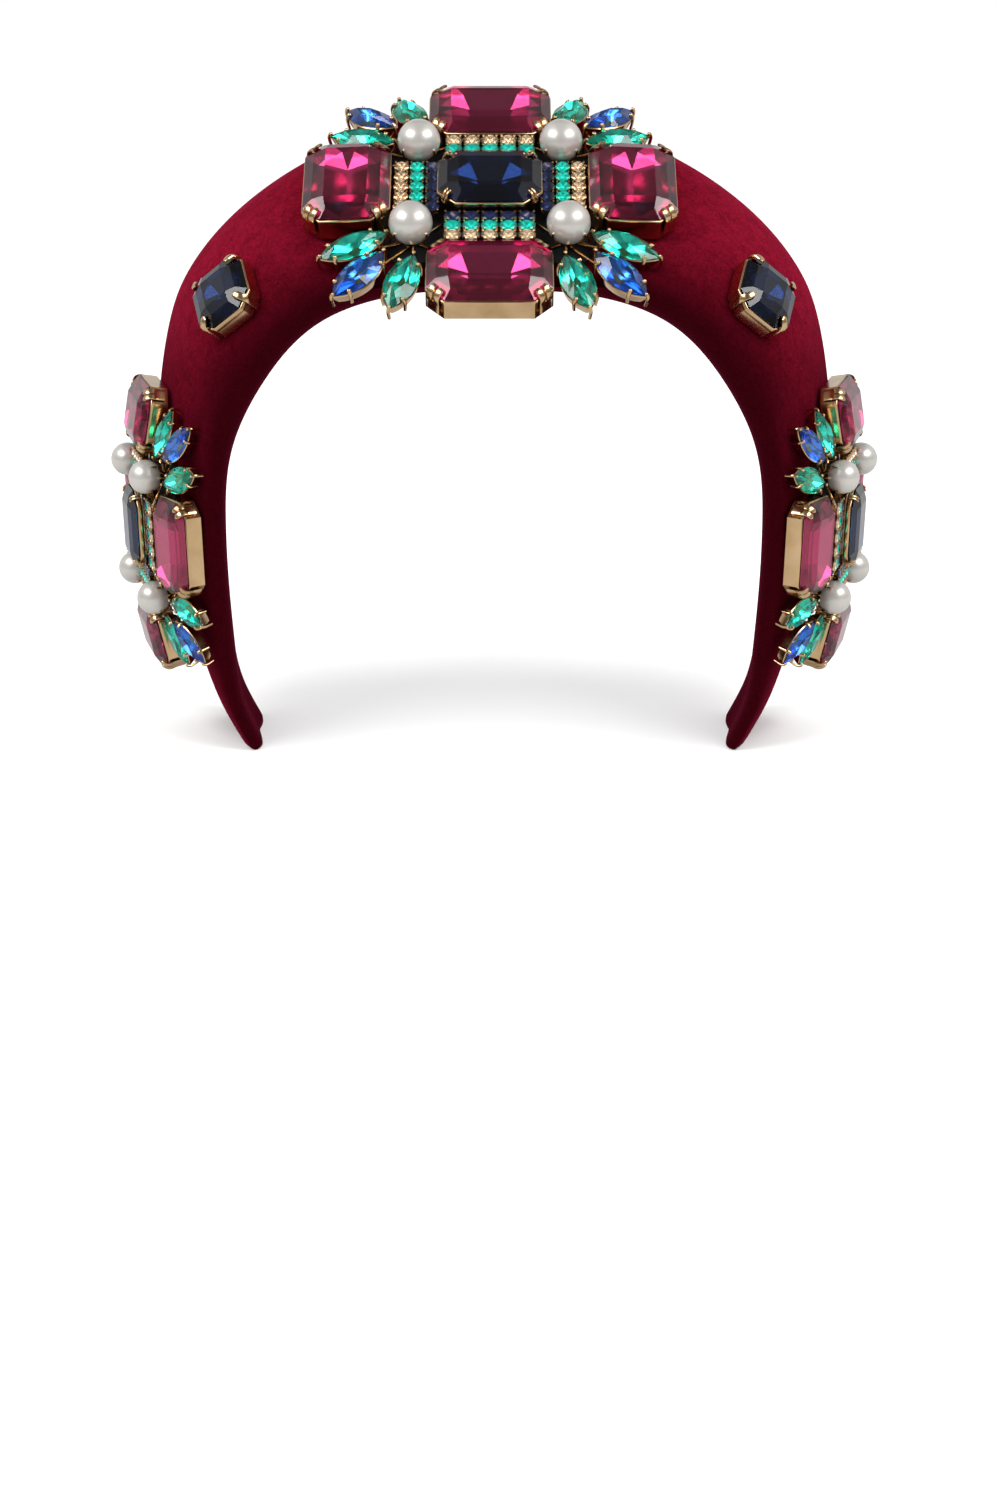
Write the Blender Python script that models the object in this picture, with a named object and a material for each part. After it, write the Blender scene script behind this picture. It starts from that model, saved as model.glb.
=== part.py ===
"""Padded velvet headband with a large jewelled motif on top, two small ones at the sides and two single stones.

The band stands upright on its two tips, as it stands by itself on a table. +Z is up and the front faces -Y.
Every size below is in millimetres, and MM turns it into metres when a mesh is made.
"""

import math

import bmesh
import bpy
import numpy as np
from mathutils import Matrix, Vector

MM = 0.001

# Velvet band: one row for each cross-section from the top of the arch to the tip, mirrored for the other half.
# inner and outer are the x and z of the edge that touches the head and of the crown of the padding.
# front and back are y, rise is how far the back edge lies out from the front edge, as a share of the
# thickness, and full says how puffed the front slope is, from 0 to 1.
BAND_ROWS = (
    # inner x, inner z, outer x, outer z, front, back, rise, full
    (0.0, 119.7, 0.0, 153.9, -32.0, 42.8, 0.24, 0.15),
    (23.0, 118.2, 27.0, 150.3, -31.0, 42.4, 0.24, 0.25),
    (42.8, 111.0, 51.6, 139.6, -30.0, 41.2, 0.25, 0.50),
    (55.8, 97.6, 70.9, 123.4, -28.5, 39.6, 0.28, 0.75),
    (64.6, 80.0, 82.7, 100.7, -27.0, 37.2, 0.33, 0.90),
    (66.8, 59.8, 84.8, 72.8, -25.0, 34.0, 0.38, 1.00),
    (66.3, 41.4, 82.5, 47.6, -22.0, 30.0, 0.42, 1.00),
    (65.0, 24.3, 76.0, 26.3, -18.0, 26.0, 0.42, 0.90),
    (63.0, 10.6, 70.9, 11.0, -14.0, 22.0, 0.40, 0.80),
    (58.6, 0.0, 64.9, 0.0, -12.4, 20.0, 0.30, 0.80),
)
# Outline of one cross-section: depth runs from front (0) to back (1), height from inner (0) to outer (1).
SECTION = (
    # depth, height of a flat front, height of a puffed front
    (0.06, 0.00, 0.00),
    (0.00, 0.13, 0.18),
    (0.05, 0.31, 0.46),
    (0.36, 0.68, 0.90),
    (0.70, 1.00, 1.00),
    (0.92, 0.86, 0.84),
    (1.00, 0.58, 0.62),
)
BACK_EDGE_DEPTH = 0.96
INNER_MIDDLE = (0.50, 0.40)  # depth, and its height as a share of the rise
SECTION_STRETCH = 2.2  # a cross-section is about this much deeper than it is thick
BAND_STATIONS = 52
BAND_SIDES = 18
PRESS_SOFTNESS = 0.7  # how gently the velvet rolls over where a setting presses it
SMOOTH_UNDER = 60.0  # degrees between two faces of the velvet that are shaded as one

# Where each motif sits: its middle, the direction that it faces, its size and how it is bent over the padding.
# The two bends are radii, along and across the motif, before it is scaled.
FLAT = 1.0e6
CENTRE_MOTIF = {"middle": (-1.0, -4.9, 137.0), "elevation": 61.0, "scale": 1.0, "bend": (FLAT, 400.0)}
SIDE_MOTIF = {"middle": (85.2, 3.2, 55.1), "forward": 15.0, "down": 2.0, "scale": 0.8, "bend": (230.0, 112.0)}
VELVET_BELOW = 2.2  # from a motif's own level down to the pressed velvet

# Octagonal stones in box settings. The middle one's box flares out above the rows of small stones round it,
# so its claws are narrow and stand on the flare only.
RUBY = {"length": 30.0, "width": 21.2, "corner": 4.4, "wall": 4.2, "floor": -1.4, "table": 3.1, "flare": 0.0,
        "claw_width": 3.4, "claw_leg": 3.6}
NAVY = {"length": 25.2, "width": 20.6, "corner": 4.4, "wall": 6.4, "floor": 0.0, "table": 3.1, "flare": 1.2,
        "claw_width": 1.8, "claw_leg": 1.1}
SINGLE = {"length": 16.0, "width": 17.6, "corner": 3.6, "wall": 4.6, "floor": 0.0, "table": 2.6, "flare": 0.0,
          "claw_width": 3.4, "claw_leg": 3.6}
FLARE_BELOW_RIM = (1.8, 1.2)  # where the flare starts and where it ends
FLARE_LIFT = 0.4  # how far the flare's inner side lies above its outer side
WALL_THICK = 0.8
BOX_FLOOR_THICK = 1.0
STONE_GAP = 0.3
STONE_RISE = 2.4  # from the girdle up to the table
GIRDLE_BELOW_RIM = 0.3
CROWN_STEP = (0.5, 0.62)  # shares of the way in and up from girdle to table, where the step is
KEEL_SHARE = 0.38  # of the width, from the outside in to the flat under the stone
LEAST_CORNER = 0.5
OCTAGONS = (
    # place, across, along, turn, lean outwards
    ("middle", 0.0, 0.0, 0.0, 0.0),
    ("minus_u", -34.0, 0.8, 90.0, 3.0),
    ("plus_u", 34.0, 0.8, 90.0, 3.0),
    ("minus_v", 0.0, -31.4, 0.0, 0.0),
    ("plus_v", 0.0, 31.4, 0.0, 0.0),
)
# Outline of a claw, seen from the side: inwards from the outside of the wall, and up from its rim. Its leg
# goes on down the wall from the first and the last point.
CLAW_OUTLINE = (
    (-0.8, 0.5),
    (0.2, 1.7),
    (2.7, 2.8),
    (3.0, 2.1),
    (0.95, 0.38),
    (0.4, -0.3),
)

# Pearls, one to a corner: how far across and along the front ones and the back ones stand.
PEARL_PLACES = {-1: (18.6, 17.1), 1: (17.2, 14.7)}
PEARL_RADIUS = 5.2
PEARL_LIFT = 6.4
PEARL_CUP_RADIUS = 3.5
PEARL_CUP_HEIGHT = 0.6
PEARL_CUP_SIDES = 8
PEARL_SIDES = 10
PEARL_RINGS = 7

# Marquise stones, three to a corner: where the middle of each is, and the way its outer end points.
# The back corners are packed a little closer than the front ones.
MARQUISES = (
    # name, front across, front along, back across, back along, points to, lean outwards
    ("a", 31.8, 20.8, 30.8, 20.8, 22.0, 8.0),
    ("b", 30.3, 30.4, 29.1, 29.7, 46.0, 10.0),
    ("c", 20.4, 32.9, 19.7, 32.2, 71.0, 8.0),
)
MARQUISE_LENGTH = 17.6
MARQUISE_WIDTH = 8.4
MARQUISE_RIM = 0.5  # the cup stands this far outside the stone
MARQUISE_DROP = 0.5
CUP_HEIGHT = 3.1
CUP_FOOT = (0.82, 0.80)  # length and width of the cup's foot, as shares of its mouth
# Half of a marquise's corners, as shares of its half length and half width.
MARQUISE_CORNERS = ((1.0, 0.0), (0.55, 0.66), (0.0, 1.0), (-0.55, 0.66))
MARQUISE_STEPS = (
    # share of the length, share of the width, height above the cup
    (1.0, 1.0, 0.3),
    (0.62, 0.5, 1.9),
    (0.34, 0.22, 2.3),
)

# Round stones in rows on each side of the middle stone.
ROWS = 3
STONES_IN_ROW = 5
ROW_SIDES = (
    # turn, start of the first row, from row to row, from stone to stone, spare strip at each end
    (90.0, 9.7, 3.6, 4.4, 1.2),
    (0.0, 11.9, 3.75, 3.9, 0.4),
)
FIELD_FLOOR = 1.25
FIELD_TOP = 2.9
ROUND_STONE_TOP = 4.2
ROUND_STONE_RADIUS = 1.75
ROUND_STONE_TABLE_RADIUS = 0.9
FIELD_OVERLAP = 0.2
ROW_BAR_HALF_WIDTH = 1.5
ROW_BAR_SHORT = 0.6
ROUND_STONE_SIDES = 6

# Wires that pass under the pearl of one corner, from setting to setting.
WIRES = (
    ((8.6, 7.0), (27.8, 27.6)),
    ((27.6, 10.6), (10.4, 21.2)),
    ((17.7, 15.7), (29.0, 20.0)),
    ((17.7, 15.7), (19.4, 29.6)),
)
WIRE_WIDTH = 1.3
WIRE_HEIGHT = (0.08, 0.83)

# Backing felt under the middle of a motif: corners of one quarter of its outline.
BACKING_QUARTER = (
    # across, along
    (22.8, 0.0),
    (22.8, 9.4),
    (25.2, 17.2),
    (22.4, 23.2),
    (16.6, 24.0),
    (10.0, 20.0),
    (0.0, 20.0),
)
BACKING_RINGS = (0.4, 1.0)
BACKING_TOP = -0.3
BACKING_THICK = 1.1

# Single stones on the shoulders of the band: where, as shares along the half arch and round the section.
SINGLE_PLACE = (0.366, 0.141)
SINGLE_TURN = 15.0
SINGLE_PRESS = 1.5
PATCH_STEP = 0.01  # how far apart, as shares, the points are taken that give the velvet's slope there


def clear_scene():
    for obj in list(bpy.data.objects):
        bpy.data.objects.remove(obj, do_unlink=True)


def material(name, colour, roughness, metallic=0.0):
    made = bpy.data.materials.new(name)
    made.use_nodes = True
    shader = made.node_tree.nodes["Principled BSDF"]
    shader.inputs["Base Color"].default_value = (*colour, 1.0)
    shader.inputs["Roughness"].default_value = roughness
    shader.inputs["Metallic"].default_value = metallic
    return made


def spline(points, at, closed=False, stretch=1.0):
    """Points on the smooth curve through the given ones, at shares from 0 to 1 of its length."""
    points = np.asarray(points, float)
    if closed:
        points = np.vstack([points, points[:1]])
    steps = np.diff(points[:, :4], axis=0) * stretch
    knots = np.r_[0, np.cumsum(np.linalg.norm(steps, axis=1))]
    gaps = np.diff(knots)
    slopes = np.diff(points, axis=0) / gaps[:, None]
    count = len(points)
    system = np.zeros((count, count))
    right = np.zeros_like(points)
    for i in range(1, count - 1):
        system[i, i - 1 : i + 2] = gaps[i - 1], 2 * (gaps[i - 1] + gaps[i]), gaps[i]
        right[i] = 6 * (slopes[i] - slopes[i - 1])
    if closed:
        system[0, 0], system[0, -1] = 1, -1
        system[-1, 0], system[-1, 1] = 2 * gaps[0], gaps[0]
        system[-1, -2], system[-1, -1] = gaps[-1], 2 * gaps[-1]
        right[-1] = 6 * (slopes[0] - slopes[-1])
    else:
        system[0, 0] = system[-1, -1] = 1
    bends = np.linalg.solve(system, right)
    where = np.asarray(at) * knots[-1]
    k = np.clip(np.searchsorted(knots, where, side="right") - 1, 0, count - 2)
    gap = gaps[k][:, None]
    a = (knots[k + 1] - where)[:, None] / gap
    b = 1 - a
    straight = a * points[k] + b * points[k + 1]
    return straight + ((a**3 - a) * bends[k] + (b**3 - b) * bends[k + 1]) * gap**2 / 6


def band_points(stations, around):
    """The unpressed surface of the band: stations run from -1 (left tip) to 1, around from 0 to 1."""
    table = np.array(BAND_ROWS)
    left = table[:0:-1] * np.array([-1, 1, -1, 1, 1, 1, 1, 1])
    rows = spline(np.vstack([left, table]), (np.asarray(stations) + 1) / 2)
    points = np.zeros((len(rows), len(around), 3))
    for i, (inner_x, inner_z, outer_x, outer_z, front, back, rise, full) in enumerate(rows):
        outline = [(depth, flat + (puffed - flat) * full) for depth, flat, puffed in SECTION]
        outline.append((BACK_EDGE_DEPTH, rise))
        outline.append((INNER_MIDDLE[0], INNER_MIDDLE[1] * rise))
        depth, height = spline(outline, around, closed=True, stretch=(SECTION_STRETCH, 1)).T
        points[i, :, 0] = inner_x + height * (outer_x - inner_x)
        points[i, :, 1] = front + depth * (back - front)
        points[i, :, 2] = inner_z + height * (outer_z - inner_z)
    return points


def frame_of(middle, normal, across):
    """A motif's frame: columns are across, along and outwards."""
    normal = Vector(normal).normalized()
    across = Vector(across)
    across = (across - normal * across.dot(normal)).normalized()
    along = normal.cross(across)
    turn = Matrix((across, along, normal)).transposed().to_4x4()
    return Matrix.Translation(Vector(middle) * MM) @ turn


def centre_frame():
    rise = math.radians(CENTRE_MOTIF["elevation"])
    return frame_of(CENTRE_MOTIF["middle"], (0, -math.cos(rise), math.sin(rise)), (1, 0, 0))


def side_frame(side):
    """Frame of a side motif; side is -1 for the left one and 1 for the right one."""
    x, y, z = SIDE_MOTIF["middle"]
    forward = math.radians(SIDE_MOTIF["forward"])
    down = math.radians(SIDE_MOTIF["down"])
    level = math.cos(down)
    normal = (side * math.cos(forward) * level, -math.sin(forward) * level, -math.sin(down))
    return frame_of((side * x, y, z), normal, (0, 0, -side))


def single_frame(side):
    """Frame of a single stone, standing on the band with its long side along the arch."""
    station, share = SINGLE_PLACE
    step = PATCH_STEP
    patch = band_points([station - step, station, station + step], [share - step, share, share + step])
    patch[:, :, 0] *= side
    along_arch = Vector(patch[2, 1] - patch[0, 1]).normalized()
    to_back = Vector(patch[1, 2] - patch[1, 0]).normalized()
    normal = along_arch.cross(to_back).normalized()
    if normal.x * side < 0:
        normal = -normal
    along_arch = Matrix.Rotation(math.radians(side * SINGLE_TURN), 3, normal) @ along_arch
    middle = Vector(patch[1, 1]) - normal * SINGLE_PRESS
    return frame_of(middle, normal, along_arch)


def pressed(points, frame, scale, bend, below):
    """Pushes the points that stand above a motif's seat down to it, with a soft edge."""
    matrix = np.array(frame)
    local = (points - matrix[:3, 3] / MM) @ matrix[:3, :3]
    radius_u, radius_v = bend[0] * scale, bend[1] * scale
    seat = -(local[..., 0] ** 2 / (2 * radius_u) + local[..., 1] ** 2 / (2 * radius_v)) - below
    over = (local[..., 2] - seat) / PRESS_SOFTNESS
    local[..., 2] = seat - PRESS_SOFTNESS * np.logaddexp(0, -over)
    return local @ matrix[:3, :3].T + matrix[:3, 3] / MM


def mesh_from(name, points, faces, size=1.0):
    mesh = bpy.data.meshes.new(name)
    mesh.from_pydata([tuple(float(c) * MM * size for c in point) for point in points], [], faces)
    shape = bmesh.new()
    shape.from_mesh(mesh)
    bmesh.ops.recalc_face_normals(shape, faces=shape.faces)
    shape.to_mesh(mesh)
    shape.free()
    return mesh


def loft(name, rings, size=1.0):
    """A closed mesh through rings of equal length, with a face across the first and the last."""
    count = len(rings[0])
    points = [point for ring in rings for point in ring]
    faces = [tuple(range(count))[::-1], tuple(range(len(points) - count, len(points)))]
    for r in range(len(rings) - 1):
        for i in range(count):
            j = (i + 1) % count
            faces.append((r * count + i, r * count + j, (r + 1) * count + j, (r + 1) * count + i))
    return mesh_from(name, points, faces, size)


def add_object(name, mesh, finish, parent=None, matrix=Matrix()):
    obj = bpy.data.objects.new(name, mesh)
    bpy.context.scene.collection.objects.link(obj)
    obj.data.materials.clear()
    obj.data.materials.append(finish)
    obj.parent = parent
    obj.matrix_local = matrix
    return obj


def fuse(name, pieces, finish, parent=None):
    """One solid out of overlapping meshes, each with the matrix that places it."""
    helpers = bpy.data.collections.new(name + "_pieces")
    base = add_object(name + "_base", pieces[0][0], finish, None, pieces[0][1])
    for i, (mesh, matrix) in enumerate(pieces[1:]):
        helper = bpy.data.objects.new(f"{name}_piece_{i}", mesh)
        helper.matrix_world = matrix
        helpers.objects.link(helper)
    bpy.context.scene.collection.children.link(helpers)
    union = base.modifiers.new("union", "BOOLEAN")
    union.operation = "UNION"
    union.operand_type = "COLLECTION"
    union.collection = helpers
    bpy.context.view_layer.update()
    graph = bpy.context.evaluated_depsgraph_get()
    fused = bpy.data.meshes.new_from_object(base.evaluated_get(graph))
    fused.transform(base.matrix_world)
    fused.name = name
    for helper in list(helpers.objects):
        bpy.data.objects.remove(helper, do_unlink=True)
    bpy.data.collections.remove(helpers)
    bpy.data.objects.remove(base, do_unlink=True)
    return add_object(name, fused, finish, parent)


def octagon(length, width, corner, height, inset=0.0):
    """An oblong with cut corners, moved in by inset on every side."""
    half_l, half_w = length / 2 - inset, width / 2 - inset
    cut = max(corner - inset * (2 - math.sqrt(2)), LEAST_CORNER)
    return [
        (half_l, -half_w + cut, height),
        (half_l, half_w - cut, height),
        (half_l - cut, half_w, height),
        (-half_l + cut, half_w, height),
        (-half_l, half_w - cut, height),
        (-half_l, -half_w + cut, height),
        (-half_l + cut, -half_w, height),
        (half_l - cut, -half_w, height),
    ]


def box_setting(name, cut, size):
    """A tray of sheet metal with a thin wall; the stone sits inside it."""
    sizes = cut["length"], cut["width"], cut["corner"]
    foot = cut["flare"]
    outer = [octagon(*sizes, cut["floor"], foot)]
    inner = [octagon(*sizes, cut["floor"] + BOX_FLOOR_THICK, WALL_THICK + foot)]
    if foot:
        start, end = (cut["wall"] - below for below in FLARE_BELOW_RIM)
        outer += [octagon(*sizes, start, foot), octagon(*sizes, end)]
        inner.append(octagon(*sizes, start + FLARE_LIFT, WALL_THICK + foot))
        inner.append(octagon(*sizes, end + FLARE_LIFT, WALL_THICK))
    outer.append(octagon(*sizes, cut["wall"]))
    inner.append(octagon(*sizes, cut["wall"], WALL_THICK))
    return loft(name, outer + inner[::-1], size)


def claws(name, cut, size):
    """Four claws, one over each cut corner, as a mesh and the matrix of each."""
    outline = [(inwards, cut["wall"] + up) for inwards, up in CLAW_OUTLINE]
    leg_end = cut["wall"] - cut["claw_leg"]
    outline = [(outline[0][0], leg_end)] + outline + [(outline[-1][0], leg_end)]
    rings = [[(-x, side * cut["claw_width"] / 2, z) for x, z in outline] for side in (-1, 1)]
    made = []
    half_cut = cut["corner"] / 2
    for sign_u in (-1, 1):
        for sign_v in (-1, 1):
            u, v = cut["length"] / 2 - half_cut, cut["width"] / 2 - half_cut
            corner = Vector((sign_u * u, sign_v * v, 0))
            turn = Matrix.Rotation(math.atan2(sign_v, sign_u), 4, "Z")
            made.append((loft(name, rings, size), Matrix.Translation(corner * MM * size) @ turn))
    return made


def octagon_stone(name, cut, size):
    """A step-cut stone: keel, girdle, one step and the table."""
    inset = WALL_THICK + STONE_GAP
    girdle = cut["wall"] - GIRDLE_BELOW_RIM
    sizes = cut["length"], cut["width"], cut["corner"]
    step_in, step_up = CROWN_STEP
    rings = [
        octagon(*sizes, cut["floor"] + BOX_FLOOR_THICK + STONE_GAP, cut["width"] * KEEL_SHARE),
        octagon(*sizes, girdle, inset),
        octagon(*sizes, girdle + STONE_RISE * step_up, inset + cut["table"] * step_in),
        octagon(*sizes, girdle + STONE_RISE, inset + cut["table"]),
    ]
    return loft(name, rings, size)


def marquise(length, width, height):
    """A pointed oval with eight corners."""
    right = [(x * length / 2, y * width / 2, height) for x, y in MARQUISE_CORNERS]
    return right + [(-x, -y, z) for x, y, z in right]


def marquise_rings():
    """Rings of the cup and of the stone that stands on it."""
    foot = MARQUISE_LENGTH * CUP_FOOT[0], MARQUISE_WIDTH * CUP_FOOT[1]
    cup = [marquise(*foot, 0.0), marquise(MARQUISE_LENGTH, MARQUISE_WIDTH, CUP_HEIGHT)]
    length, width = MARQUISE_LENGTH - 2 * MARQUISE_RIM, MARQUISE_WIDTH - 2 * MARQUISE_RIM
    stone = [marquise(length * long, width * wide, CUP_HEIGHT + up) for long, wide, up in MARQUISE_STEPS]
    return cup, stone


def pearl(name, size):
    mesh = bpy.data.meshes.new(name)
    shape = bmesh.new()
    bmesh.ops.create_uvsphere(
        shape, u_segments=PEARL_SIDES, v_segments=PEARL_RINGS, radius=PEARL_RADIUS * MM * size
    )
    shape.to_mesh(mesh)
    shape.free()
    mesh.shade_smooth()
    return mesh


def cylinder_rings(sides, radius_low, radius_high, low, high):
    rings = []
    for radius, z in ((radius_low, low), (radius_high, high)):
        angles = [2 * math.pi * i / sides for i in range(sides)]
        rings.append([(radius * math.cos(a), radius * math.sin(a), z) for a in angles])
    return rings


def block(name, u, v, low, high, size):
    """An upright block between two pairs of limits."""
    corners = ((u[0], v[0]), (u[1], v[0]), (u[1], v[1]), (u[0], v[1]))
    return loft(name, [[(x, y, z) for x, y in corners] for z in (low, high)], size)


class Motif:
    """A group of stones in soldered settings, on a gently bent seat."""

    def __init__(self, name, frame, scale, bend, places):
        self.name = name
        self.scale = scale
        self.bend = bend
        self.places = places
        self.empty = bpy.data.objects.new(name, None)
        bpy.context.scene.collection.objects.link(self.empty)
        self.empty.matrix_world = frame

    def seat(self, u, v, lift=0.0, turn=0.0, lean=0.0, lean_to=0.0):
        """Matrix of a place on the seat, turned in it and leaning the given way, in degrees."""
        normal = Vector((u / self.bend[0], v / self.bend[1], 1.0)).normalized()
        away = math.tan(math.radians(lean))
        to = math.radians(lean_to)
        normal = (normal + Vector((away * math.cos(to), away * math.sin(to), 0))).normalized()
        drop = u * u / (2 * self.bend[0]) + v * v / (2 * self.bend[1])
        middle = Vector((u, v, -drop)) + normal * lift
        angle = math.radians(turn)
        return frame_of(middle * self.scale, normal, (math.cos(angle), math.sin(angle), 0))

    def octagon_places(self):
        for place, u, v, turn, lean in OCTAGONS:
            lean_to = 180.0 if u < 0 else 0.0
            yield place, self.seat(u, v, 0.0, turn, lean, lean_to), NAVY if place == "middle" else RUBY

    def corners(self):
        for sign_u in (-1, 1):
            for sign_v in (-1, 1):
                yield sign_u, sign_v, f"{self.places[('v', sign_v)]}_{self.places[('u', sign_u)]}"

    def marquise_place(self, sign_u, sign_v, row):
        _, front_u, front_v, back_u, back_v, points_to, lean = row
        u, v = (front_u, front_v) if sign_v < 0 else (back_u, back_v)
        angle = math.radians(points_to)
        turn = math.degrees(math.atan2(sign_v * math.sin(angle), sign_u * math.cos(angle)))
        return self.seat(sign_u * u, sign_v * v, -MARQUISE_DROP, turn, lean, turn)

    def pearl_place(self, sign_u, sign_v, lift=0.0):
        u, v = PEARL_PLACES[sign_v]
        return self.seat(sign_u * u, sign_v * v, lift)

    def setting_pieces(self, with_marquise_stones):
        size = self.scale
        pieces = []
        for place, seat, cut in self.octagon_places():
            pieces.append((box_setting(f"{self.name}_box_{place}", cut, size), seat))
            for mesh, matrix in claws(f"{self.name}_claw_{place}", cut, size):
                pieces.append((mesh, seat @ matrix))
        cup, stone = marquise_rings()
        if with_marquise_stones:
            cup = cup + stone[1:]
        disc = cylinder_rings(PEARL_CUP_SIDES, PEARL_CUP_RADIUS, PEARL_CUP_RADIUS, 0.0, PEARL_CUP_HEIGHT)
        for sign_u, sign_v, _ in self.corners():
            pieces.append((loft("pearl_cup", disc, size), self.pearl_place(sign_u, sign_v)))
            for row in MARQUISES:
                pieces.append((loft("marquise_cup", cup, size), self.marquise_place(sign_u, sign_v, row)))
            for start, end in WIRES:
                places = [(sign_u * u, sign_v * v) for u, v in (start, end)]
                pieces.append(self.wire(*places))
        return pieces

    def wire(self, start, end):
        """A flat wire between two places on the seat."""
        middle = ((start[0] + end[0]) / 2, (start[1] + end[1]) / 2)
        length = math.dist(start, end)
        turn = math.degrees(math.atan2(end[1] - start[1], end[0] - start[0]))
        mesh = block(
            "wire", (-length / 2, length / 2), (-WIRE_WIDTH / 2, WIRE_WIDTH / 2), *WIRE_HEIGHT, self.scale
        )
        return mesh, self.seat(*middle, 0.0, turn)

    def field_pieces(self, with_stones):
        """The strips that carry the rows of small round stones, with the stones or a plain bar for each row."""
        size = self.scale
        pieces = []
        for turn, start, row_pitch, pitch, spare in ROW_SIDES:
            half = STONES_IN_ROW * pitch / 2 + spare
            for side in (0, 180):
                seat = Matrix.Rotation(math.radians(turn + side), 4, "Z")
                limits = (start, start + ROWS * row_pitch), (-half, half)
                pieces.append((block("strip", *limits, FIELD_FLOOR, FIELD_TOP, size), seat))
                for row in range(ROWS):
                    across = start + (row + 0.5) * row_pitch
                    if with_stones:
                        pieces += self.stones_of_row(seat, across, pitch)
                        continue
                    bar_half = half - ROW_BAR_SHORT
                    limits = (across - ROW_BAR_HALF_WIDTH, across + ROW_BAR_HALF_WIDTH), (-bar_half, bar_half)
                    bar = block("row", *limits, FIELD_TOP - FIELD_OVERLAP, ROUND_STONE_TOP, size)
                    pieces.append((bar, seat))
        return pieces

    def stones_of_row(self, seat, across, pitch):
        """Small round stones in a row, each in its own cup."""
        radii = ROUND_STONE_RADIUS, ROUND_STONE_TABLE_RADIUS
        rings = cylinder_rings(ROUND_STONE_SIDES, *radii, FIELD_TOP - FIELD_OVERLAP, ROUND_STONE_TOP)
        made = []
        for i in range(STONES_IN_ROW):
            along = (i - (STONES_IN_ROW - 1) / 2) * pitch
            place = seat @ Matrix.Translation(Vector((across, along, 0)) * MM * self.scale)
            made.append((loft("round_stone", rings, self.scale), place))
        return made

    def backing(self, finish):
        quarter = list(BACKING_QUARTER)
        outline = quarter[:-1] + [(-u, v) for u, v in quarter[:0:-1]]
        outline = outline + [(-u, -v) for u, v in outline]
        low, high = BACKING_TOP - BACKING_THICK, BACKING_TOP
        rings = []
        for share, level in [(s, low) for s in BACKING_RINGS] + [(s, high) for s in BACKING_RINGS[::-1]]:
            ring = []
            for u, v in outline:
                u, v = u * share, v * share
                ring.append((u, v, level - u * u / (2 * self.bend[0]) - v * v / (2 * self.bend[1])))
            rings.append(ring)
        add_object(f"{self.name}_backing", loft("backing", rings, self.scale), finish, self.empty)

    def build(self, finishes, separate_marquises):
        size = self.scale
        self.backing(finishes["felt"])
        metal = self.setting_pieces(not separate_marquises)
        fuse(f"{self.name}_setting", metal, finishes["gold"], self.empty)
        field = self.field_pieces(separate_marquises)
        fuse(f"{self.name}_rhinestones", field, finishes["crystal"], self.empty)
        for place, seat, cut in self.octagon_places():
            side = (place[-1], 1 if place.startswith("plus") else -1)
            name = f"{self.name}_stone_{self.places.get(side, place)}"
            finish = finishes["navy"] if cut is NAVY else finishes["ruby"]
            add_object(name, octagon_stone(name, cut, size), finish, self.empty, seat)
        for sign_u, sign_v, label in self.corners():
            name = f"{self.name}_pearl_{label}"
            seat = self.pearl_place(sign_u, sign_v, PEARL_LIFT)
            add_object(name, pearl(name, size), finishes["pearl"], self.empty, seat)
            if not separate_marquises:
                continue
            for row in MARQUISES:
                name = f"{self.name}_marquise_{label}_{row[0]}"
                finish = finishes["sapphire"] if row[0] == "b" else finishes["emerald"]
                stone = loft(name, marquise_rings()[1], size)
                add_object(name, stone, finish, self.empty, self.marquise_place(sign_u, sign_v, row))


def build_band(finish, seats):
    stations = np.linspace(-1, 1, BAND_STATIONS + 1)
    points = band_points(stations, np.arange(BAND_SIDES) / BAND_SIDES)
    for frame, scale, bend, below in seats:
        points = pressed(points, frame, scale, bend, below)
    mesh = loft("velvet_band", [list(map(tuple, ring)) for ring in points])
    mesh.shade_smooth()
    mesh.set_sharp_from_angle(angle=math.radians(SMOOTH_UNDER))
    add_object("velvet_band", mesh, finish)


def build_single(name, frame, finishes):
    empty = bpy.data.objects.new(name, None)
    bpy.context.scene.collection.objects.link(empty)
    empty.matrix_world = frame
    pieces = [(box_setting(name, SINGLE, 1.0), Matrix())] + claws(name, SINGLE, 1.0)
    fuse(f"{name}_setting", pieces, finishes["gold"], empty)
    stone = octagon_stone(name, SINGLE, 1.0)
    add_object(f"{name}_stone", stone, finishes["navy"], empty)


clear_scene()
finishes = {
    "velvet": material("velvet", (0.13, 0.007, 0.022), 0.9),
    "felt": material("black_felt", (0.01, 0.01, 0.011), 0.9),
    "gold": material("gold_metal", (0.86, 0.62, 0.32), 0.25, 1.0),
    "crystal": material("pale_crystal", (0.80, 0.66, 0.45), 0.15),
    "ruby": material("ruby_glass", (0.45, 0.015, 0.10), 0.1),
    "navy": material("navy_glass", (0.008, 0.014, 0.07), 0.1),
    "emerald": material("emerald_glass", (0.0, 0.23, 0.12), 0.1),
    "sapphire": material("sapphire_glass", (0.01, 0.06, 0.40), 0.1),
    "pearl": material("pearl", (0.86, 0.82, 0.78), 0.2),
}
seats = [(centre_frame(), CENTRE_MOTIF["scale"], CENTRE_MOTIF["bend"], VELVET_BELOW)]
for side in (-1, 1):
    below = VELVET_BELOW * SIDE_MOTIF["scale"]
    seats.append((side_frame(side), SIDE_MOTIF["scale"], SIDE_MOTIF["bend"], below))
    seats.append((single_frame(side), 1.0, (FLAT, FLAT), STONE_GAP))
build_band(finishes["velvet"], seats)

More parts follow.
